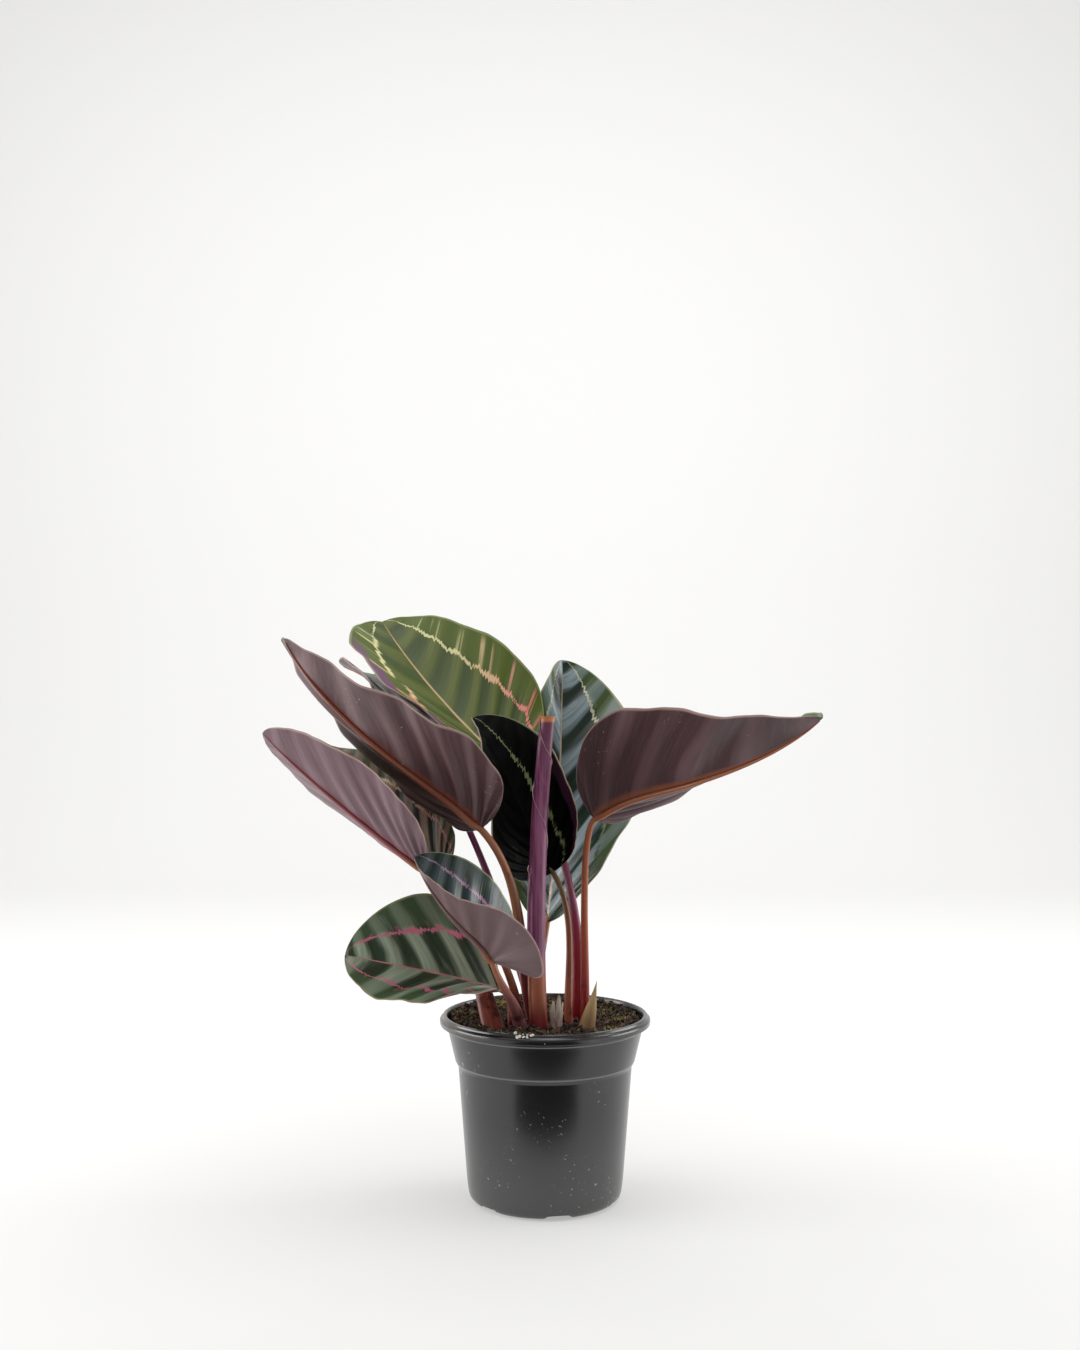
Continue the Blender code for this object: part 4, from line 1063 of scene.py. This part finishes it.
def random_turns(draw, count):
    """Rotation matrices that turn anything any way, from random unit quaternions."""
    w, x, y, z = draw.normal(size=(count, 4)).T
    size = np.sqrt(w * w + x * x + y * y + z * z)
    w, x, y, z = w / size, x / size, y / size, z / size
    rows = [[1 - 2 * (y * y + z * z), 2 * (x * y - z * w), 2 * (x * z + y * w)],
            [2 * (x * y + z * w), 1 - 2 * (x * x + z * z), 2 * (y * z - x * w)],
            [2 * (x * z - y * w), 2 * (y * z + x * w), 1 - 2 * (x * x + y * y)]]
    return np.array(rows).transpose(2, 0, 1)


def scattered(draw, count, low=0.0, high=SOIL_EDGE_RADIUS - 1.4):
    """Random places on the soil, even over its area, between two distances from the axis."""
    reach = np.sqrt(draw.uniform(low ** 2, high ** 2, count))
    angle = draw.uniform(0.0, 2.0 * np.pi, count)
    return reach * np.cos(angle), reach * np.sin(angle)


def as_one(draw, points, faces):
    """Many small solids as one mesh; every one gets two random numbers of its own for its UVs."""
    count, corners = points.shape[:2]
    tint = np.repeat(draw.uniform(0.0, 1.0, (count, 1, 2)), corners, 1)
    faces = faces[None] + np.arange(count)[:, None, None] * corners
    return points.reshape(-1, 3), faces.reshape(-1, 3), tint.reshape(-1, 2)


def crumbs(draw, x, y, sizes, squash, lift, ground=None):
    """Knobbly lumps at given places: balls with uneven corners, squashed and turned at random.

    They lie on the soil, or at the heights given as ground.
    """
    points, faces = ball()
    count = len(x)
    lumps = points[None] * draw.uniform(0.7, 1.15, (count, len(points), 1)) * np.array(squash)
    lumps = np.einsum("nij,npj->npi", random_turns(draw, count), lumps) * sizes[:, None, None]
    heights = soil_height(x, y) if ground is None else ground
    places = np.stack([x, y, heights + sizes * lift], -1)
    return as_one(draw, lumps + places[:, None], faces)


def crumb_face(name, first, second):
    """Each crumb's colour lies between two, by its own random number."""
    finish, tree = new_finish(name)
    tint, _ = surface_pair(tree)
    grain = step_up(noise(object_place(tree), 1500.0, 2.0), 0.4, 0.7, 0.0, 0.5)
    return painted(finish, mix(grain, mix(tint, first, second), first), 0.85)


draw = np.random.default_rng(7)
CRUMB_KINDS = (
    ("soil_crumbs", 2400, (0.7, 2.2), (1.0, 0.7, 0.6), (0.005, 0.003, 0.002), (0.075, 0.042, 0.024)),
    ("soil_fibres", 620, (0.7, 1.7), (1.6, 0.35, 0.35), (0.090, 0.050, 0.028), (0.400, 0.280, 0.170)),
    ("soil_bark", 240, (1.3, 3.2), (1.0, 0.6, 0.3), (0.020, 0.010, 0.007), (0.210, 0.110, 0.060)),
)
for name, count, (low, high), squash, first, second in CRUMB_KINDS:
    x, y = scattered(draw, count)
    lumps = crumbs(draw, x, y, draw.uniform(low, high, count), squash, 0.45)
    settle(make_piece(name, *lumps, [crumb_face(f"{name}_skin", first, second)], sharp=20.0), "soil", "soil")

# %% [markdown]
# Moss grows in patches near the wall: small and thick at the sides and in front, wide and thin at the
# back. Each patch is a spray of small pointed leaves. A few white grains of perlite lie on top, and some
# have spilt over the front of the rim.

# %% Moss and perlite
MOSS_TRIES = 420                     # leaves per patch, before those off the soil are left out
PERLITE_COUNT, PERLITE_FROM, PERLITE_TO = 26, 10.0, 51.0
SPILT_AT, SPILT_SPREAD, SPILT_COUNT = -101.5, 2.6, 18
SPILT_FROM, SPILT_TO = 56.9, 59.6
RIM_TOP_RADII = (56.2, 57.0, 57.6, 58.8, 60.0)
RIM_TOP_HEIGHTS = (104.8, 105.0, 104.0, 103.9, 102.4)


def moss_leaves(draw, x, y, sizes):
    """Small three-sided points that stand up and lean every way, all in one mesh."""
    count = len(x)
    foot = soil_height(x, y) + 0.1
    lean = draw.normal(0.0, 0.6, (count, 2)) * sizes[:, None]
    tip = np.stack([x + lean[:, 0], y + lean[:, 1], foot + sizes * draw.uniform(0.5, 1.0, count)], -1)
    angle = draw.uniform(0.0, 2.0 * np.pi, (count, 1)) + np.arange(3) * 2.0 * np.pi / 3.0
    wide = sizes[:, None] * 0.22
    base = np.stack([x[:, None] + wide * np.cos(angle), y[:, None] + wide * np.sin(angle),
                     np.repeat(foot[:, None], 3, 1) - 0.3], -1)
    faces = np.array([(0, 1, 3), (1, 2, 3), (2, 0, 3), (2, 1, 0)])
    return as_one(draw, np.concatenate([base, tip[:, None]], 1), faces)


MOSS_PATCHES = (
    (-38.0, -24.0, 9.0), (-44.0, 6.0, 7.0), (-20.0, -38.0, 8.0), (30.0, 22.0, 15.0), (44.0, 4.0, 8.0),
    (8.0, 38.0, 12.0), (-26.0, 34.0, 10.0), (36.0, -26.0, 7.0),
)
parts = []
for *center, spread in MOSS_PATCHES:
    x, y = (middle + draw.normal(0.0, spread * 0.5, MOSS_TRIES) for middle in center)
    inside = np.hypot(x, y) < SOIL_EDGE_RADIUS - 1.5
    parts.append((x[inside], y[inside]))
x, y = (np.concatenate(values) for values in zip(*parts))
moss = moss_leaves(draw, x, y, draw.uniform(1.2, 3.0, len(x)))
moss_finish = crumb_face("moss", (0.085, 0.070, 0.016), (0.520, 0.430, 0.140))
settle(make_piece("soil_moss", *moss, [moss_finish], sharp=180.0), "soil", "soil")

x, y = scattered(draw, PERLITE_COUNT, PERLITE_FROM, PERLITE_TO)
angle = np.radians(draw.normal(SPILT_AT, SPILT_SPREAD, SPILT_COUNT))
reach = draw.uniform(SPILT_FROM, SPILT_TO, SPILT_COUNT)
ground = np.append(soil_height(x, y), np.interp(reach, RIM_TOP_RADII, RIM_TOP_HEIGHTS))
x, y = np.append(x, reach * np.cos(angle)), np.append(y, reach * np.sin(angle))
perlite = crumbs(draw, x, y, draw.uniform(0.5, 1.2, len(x)), (1.0, 0.9, 0.8), 0.5, ground)
perlite_finish = crumb_face("perlite", (0.55, 0.53, 0.48), (0.80, 0.78, 0.72))
settle(make_piece("soil_perlite", *perlite, [perlite_finish], sharp=20.0), "soil", "soil")

# %% [markdown]
# ## Pot
#
# A blow-moulded nursery pot: thin black plastic, a tapered body, a straighter collar, a rolled rim and
# six arched channels under the foot, so that water can run out. It is a turned profile with every
# corner rounded; the channels lift the foot where they cross it, and the drain holes are cut.

# %% Pot shape
POT_HEIGHT = 105.0
RIM_RADIUS = 60.0
COLLAR_TOP_RADIUS = 55.7
COLLAR_LOW_RADIUS = 51.2
COLLAR_LOW = 79.0
COLLAR_STEP = 3.0
BODY_TOP_RADIUS = 49.5
BODY_LOW_RADIUS = 44.3
WALL = 1.2
FOOT_FILLET = 9.0
DRAIN_COUNT = 6
DRAIN_FIRST = -80.0
DRAIN_DEPTH = 3.0
DRAIN_WIDTH = 18.0
DRAIN_START = 15.0
DRAIN_HOLE_RADIUS = 4.0
DRAIN_HOLE_AT = 28.0
POT_SIDES = 240
ROUNDING_STEPS = 5


def rounded(corners):
    """A profile of (radius, height, rounding): each corner becomes a small curve of that reach."""
    corners = np.array(corners, float)
    points = [corners[0, :2]]
    for before, here, after in zip(corners[:-2], corners[1:-1], corners[2:]):
        spot = here[:2]
        ways = [(other[:2] - spot) for other in (before, after)]
        ends = [spot + way * min(here[2] / max(np.linalg.norm(way), 1e-6), 0.5) for way in ways]
        share = np.linspace(0.0, 1.0, ROUNDING_STEPS + 1)[:, None]
        points.extend((1 - share) ** 2 * ends[0] + 2 * (1 - share) * share * spot + share ** 2 * ends[1])
    points.append(corners[-1, :2])
    return np.array(points)


def even_steps(profile, longest):
    """More points along the straight runs, so that no step is longer than given."""
    pieces = []
    for start, stop in zip(profile[:-1], profile[1:]):
        count = max(1, int(np.ceil(np.linalg.norm(stop - start) / longest)))
        pieces.append(start + (stop - start) * np.linspace(0.0, 1.0, count, endpoint=False)[:, None])
    return np.concatenate([*pieces, profile[-1:]])


def pot_profile():
    """Radius and height from the middle of the foot, up outside, over the rim and down inside."""
    outside = [
        (0.0, 0.0, 0.0), (BODY_LOW_RADIUS - 1.6, 0.0, FOOT_FILLET * 0.75),
        (BODY_LOW_RADIUS, FOOT_FILLET, FOOT_FILLET * 0.8),
        (BODY_TOP_RADIUS, COLLAR_LOW - COLLAR_STEP, 0.6), (COLLAR_LOW_RADIUS, COLLAR_LOW, 0.5),
        (COLLAR_TOP_RADIUS, POT_HEIGHT - 7.3, 0.6), (COLLAR_TOP_RADIUS + 0.9, POT_HEIGHT - 6.9, 0.25),
        (COLLAR_TOP_RADIUS + 0.9, POT_HEIGHT - 6.2, 0.25), (RIM_RADIUS - 2.2, POT_HEIGHT - 5.9, 0.4),
        (RIM_RADIUS - 0.3, POT_HEIGHT - 5.6, 0.6), (RIM_RADIUS, POT_HEIGHT - 4.3, 0.6),
        (RIM_RADIUS, POT_HEIGHT - 2.4, 0.8), (RIM_RADIUS - 1.2, POT_HEIGHT - 1.5, 0.5),
        (RIM_RADIUS - 1.6, POT_HEIGHT - 1.4, 0.15), (RIM_RADIUS - 1.9, POT_HEIGHT - 0.1, 0.5),
        (RIM_RADIUS - 3.6, POT_HEIGHT, 0.6),
    ]
    inside = [
        (RIM_RADIUS - 4.4, POT_HEIGHT - 1.6, 0.8), (COLLAR_TOP_RADIUS - WALL, POT_HEIGHT - 6.3, 1.0),
        (COLLAR_LOW_RADIUS - WALL, COLLAR_LOW, 0.5), (BODY_TOP_RADIUS - WALL, COLLAR_LOW - COLLAR_STEP, 0.5),
        (BODY_LOW_RADIUS - WALL, FOOT_FILLET + 2.0, 2.0), (BODY_LOW_RADIUS - WALL - 2.0, POT_FLOOR, 2.0),
        (0.0, POT_FLOOR, 0.0),
    ]
    return even_steps(rounded(outside + inside), 2.5)


def channel_height(x, y):
    """How high the foot is lifted: an arched channel along six spokes, from near the middle outwards."""
    reach, angle = np.hypot(x, y), np.arctan2(y, x)
    spoke = 2.0 * np.pi / DRAIN_COUNT
    off = (angle - np.radians(DRAIN_FIRST) + spoke / 2.0) % spoke - spoke / 2.0
    across = reach * np.sin(off)
    spread = np.interp(reach, [DRAIN_START, DRAIN_HOLE_AT, BODY_LOW_RADIUS], [0.3, 0.8, 1.0])
    half = DRAIN_WIDTH / 2.0 * spread
    arch = DRAIN_DEPTH * np.clip(1.0 - (across / half) ** 4, 0.0, 1.0)
    return arch * np.clip((reach - DRAIN_START) / 3.0, 0.0, 1.0)


def pot_arrays():
    """The turned pot: points, faces, and UVs of height and turn."""
    profile = pot_profile()
    turn = np.linspace(0.0, 2.0 * np.pi, POT_SIDES, endpoint=False)
    x, y = profile[:, :1] * np.cos(turn), profile[:, :1] * np.sin(turn)
    z = np.broadcast_to(profile[:, 1:], x.shape).copy()
    under = np.arange(len(profile)) < np.argmax(profile[:, 1] > COLLAR_LOW)
    z[under] = np.maximum(z[under], channel_height(x[under], y[under]))
    uvs = np.stack([z / POT_HEIGHT, np.broadcast_to(turn / (2.0 * np.pi), z.shape)], -1)
    faces = grid_faces(len(profile), POT_SIDES, closed=True)
    return np.stack([x, y, z], -1).reshape(-1, 3), faces, uvs.reshape(-1, 2)

# %% [markdown]
# The plastic is charcoal and half shiny. Handling and watering leave white specks of lime and a beige bloom
# of dust on the rim. The grey grows lighter towards the foot, and two pale lines under the ledges are painted
# highlights.

# %% Pot finish
def pot_face():
    """Charcoal plastic with specks and dust on the rim, lighter towards the foot, with painted highlight
    lines under two ledges.
    """
    finish, tree = new_finish("pot_plastic")
    place = object_place(tree)
    height, _ = surface_pair(tree)
    cloud, speck, patch = noise(place, 28.0, 3.0), noise(place, 520.0), noise(place, 33.0)
    cloudy_plastic = mix(step_up(cloud, 0.3, 0.7), (0.0040, 0.0042, 0.0050), (0.0075, 0.0078, 0.0088))
    # The grey grows lighter towards the foot.
    body = mix(step_up(height, 0.05, 0.62, 1.0, 0.0), cloudy_plastic, (0.045, 0.045, 0.045))
    shown = step_up(speck, 0.66, 0.72) * step_up(patch, 0.50, 0.62)
    body = mix(shown * 0.6, body, (0.45, 0.45, 0.46))
    # Painted highlights: pale lines just under the collar step and the lip.
    for ledge, reach in ((COLLAR_LOW - 0.6, 0.8), (POT_HEIGHT - 7.4, 0.7)):
        away = abs(height - ledge / POT_HEIGHT)
        line = step_up(away, 0.2 * reach / POT_HEIGHT, reach / POT_HEIGHT, 0.55, 0.0)
        body = mix(line, body, (0.20, 0.20, 0.19))
    dust = step_up(height, 0.945, 0.965) * step_up(cloud, 0.42, 0.62, 0.0, 0.30)
    body = mix(dust, body, (0.24, 0.21, 0.17))
    return painted(finish, body, 0.24, 0.85, cloud * 2.0 + shown, 0.12, 0.0008)


def cut_holes(pot):
    """Cut the six round drain holes through the floor."""
    cutter_mesh = bpy.data.meshes.new("drain_cutters")
    work = bmesh.new()
    for index in range(DRAIN_COUNT):
        turn = math.radians(DRAIN_FIRST + 360.0 * index / DRAIN_COUNT)
        reach, radius = DRAIN_HOLE_AT * MM, DRAIN_HOLE_RADIUS * MM
        at = Matrix.Translation((reach * math.cos(turn), reach * math.sin(turn), 3.5 * MM))
        bmesh.ops.create_cone(work, cap_ends=True, segments=32, radius1=radius, radius2=radius,
                              depth=4.0 * MM, matrix=at)
    work.to_mesh(cutter_mesh)
    work.free()
    cutter = bpy.data.objects.new("drain_cutters", cutter_mesh)
    bpy.context.scene.collection.objects.link(cutter)
    step = pot.modifiers.new("drain_holes", "BOOLEAN")
    step.operation, step.solver, step.object = "DIFFERENCE", "EXACT", cutter
    cut = bpy.data.meshes.new_from_object(pot.evaluated_get(bpy.context.evaluated_depsgraph_get()))
    pot.modifiers.clear()
    pot.data = cut
    bpy.data.objects.remove(cutter, do_unlink=True)


pot = make_piece("pot_shell", *pot_arrays(), [pot_face()], sharp=40.0)
cut_holes(pot)
settle(pot, "pot", "pot")

# %% [markdown]
# ## Floor, backdrop and light
#
# The plant stands on a plain pale floor that curves up into a backdrop, so that there is no horizon.
# The light is a soft studio one: big soft boxes above and at both sides, and a darker front, which is
# what leaves a dark reflection down the middle of the shiny pot.

# %% Floor and backdrop
FLOOR_FRONT, FLOOR_BACK = -2600.0, 1300.0
SWEEP_RADIUS = 500.0
BACKDROP_TOP = 3200.0
HALF_WIDTH = 3200.0


def floor_sweep():
    """A floor that curves up behind: a profile of depth and height carried along X, wide on both sides."""
    angle = np.linspace(0.0, np.pi / 2.0, 17)
    rise = FLOOR_BACK + SWEEP_RADIUS * np.sin(angle)
    depth = np.concatenate([[FLOOR_FRONT], rise, [FLOOR_BACK + SWEEP_RADIUS]])
    height = np.concatenate([[0.0], SWEEP_RADIUS * (1.0 - np.cos(angle)), [BACKDROP_TOP]])
    across = np.array([-HALF_WIDTH, HALF_WIDTH])
    grid = np.stack(np.broadcast_arrays(across[None, :], depth[:, None], height[:, None]), -1)
    uvs = np.stack(np.meshgrid(np.linspace(0, 1, len(depth)), [0.0, 1.0], indexing="ij"), -1)
    return grid.reshape(-1, 3), grid_faces(len(depth), 2), uvs.reshape(-1, 2)


floor_finish, tree = new_finish("floor")
painted(floor_finish, (0.42, 0.418, 0.415, 1.0), 0.9, 0.1)
floor_shader = tree.nodes["Principled BSDF"]
floor_shader.inputs["Emission Color"].default_value = (1.0, 0.995, 0.985, 1.0)
floor_shader.inputs["Emission Strength"].default_value = 0.40
floor = make_piece("floor", *floor_sweep(), [floor_finish], recalculate=False)

# %% [markdown]
# A glossy dark pot mirrors the floor round it. A black card lies on the floor in front, seen only by
# reflections, and gives the pot its dark middle.

# %% Black card
CARD_CORNERS = np.array([
    (-105.0, -135.0, 1.0), (120.0, -135.0, 1.0), (600.0, -1100.0, 1.0), (-560.0, -1100.0, 1.0),
])

card_finish, _ = new_finish("black_card")
painted(card_finish, (0.01, 0.01, 0.01, 1.0), 0.9)
card = make_piece("black_card", CARD_CORNERS, np.array([(0, 3, 2, 1)]), CARD_CORNERS[:, :2] / 1000.0,
                  [card_finish], recalculate=False)
card.visible_camera = card.visible_diffuse = card.visible_shadow = False

# %% [markdown]
# Each soft box is an area light that faces a point. Two stand at the sides, one hangs above, and the last
# one lights the backdrop. An even pale world fills in what they leave dark.

# %% Lights
def soft_box(name, place, aim, size, power):
    """A rectangular area light that faces a point; sizes in millimetres, power in watts."""
    data = bpy.data.lights.new(name, "AREA")
    data.shape = "RECTANGLE"
    data.size, data.size_y = size[0] * MM, size[1] * MM
    data.energy = power
    lamp = bpy.data.objects.new(name, data)
    lamp.location = [value * MM for value in place]
    way = np.array(aim, float) - np.array(place, float)
    flat = math.hypot(way[0], way[1])
    lamp.rotation_euler = (math.atan2(flat, -way[2]), 0.0, math.atan2(-way[0], way[1]))
    bpy.context.scene.collection.objects.link(lamp)


soft_box("light_left", (-1250, -50, 350), (0, 0, 100), (1000, 900), 15)
soft_box("light_right", (1250, 150, 350), (0, 0, 100), (900, 900), 11)
soft_box("light_top", (0, -100, 1500), (0, 0, 150), (1700, 1300), 15)
soft_box("light_backdrop", (0, 500, 1350), (0, 1750, 350), (2400, 500), 17)

world = bpy.data.worlds.new("studio")
bpy.context.scene.world = world
world.use_nodes = True
background = world.node_tree.nodes["Background"]
background.inputs["Color"].default_value = (1.0, 1.0, 1.0, 1.0)
background.inputs["Strength"].default_value = 0.30
bpy.context.scene.view_settings.view_transform = "Standard"
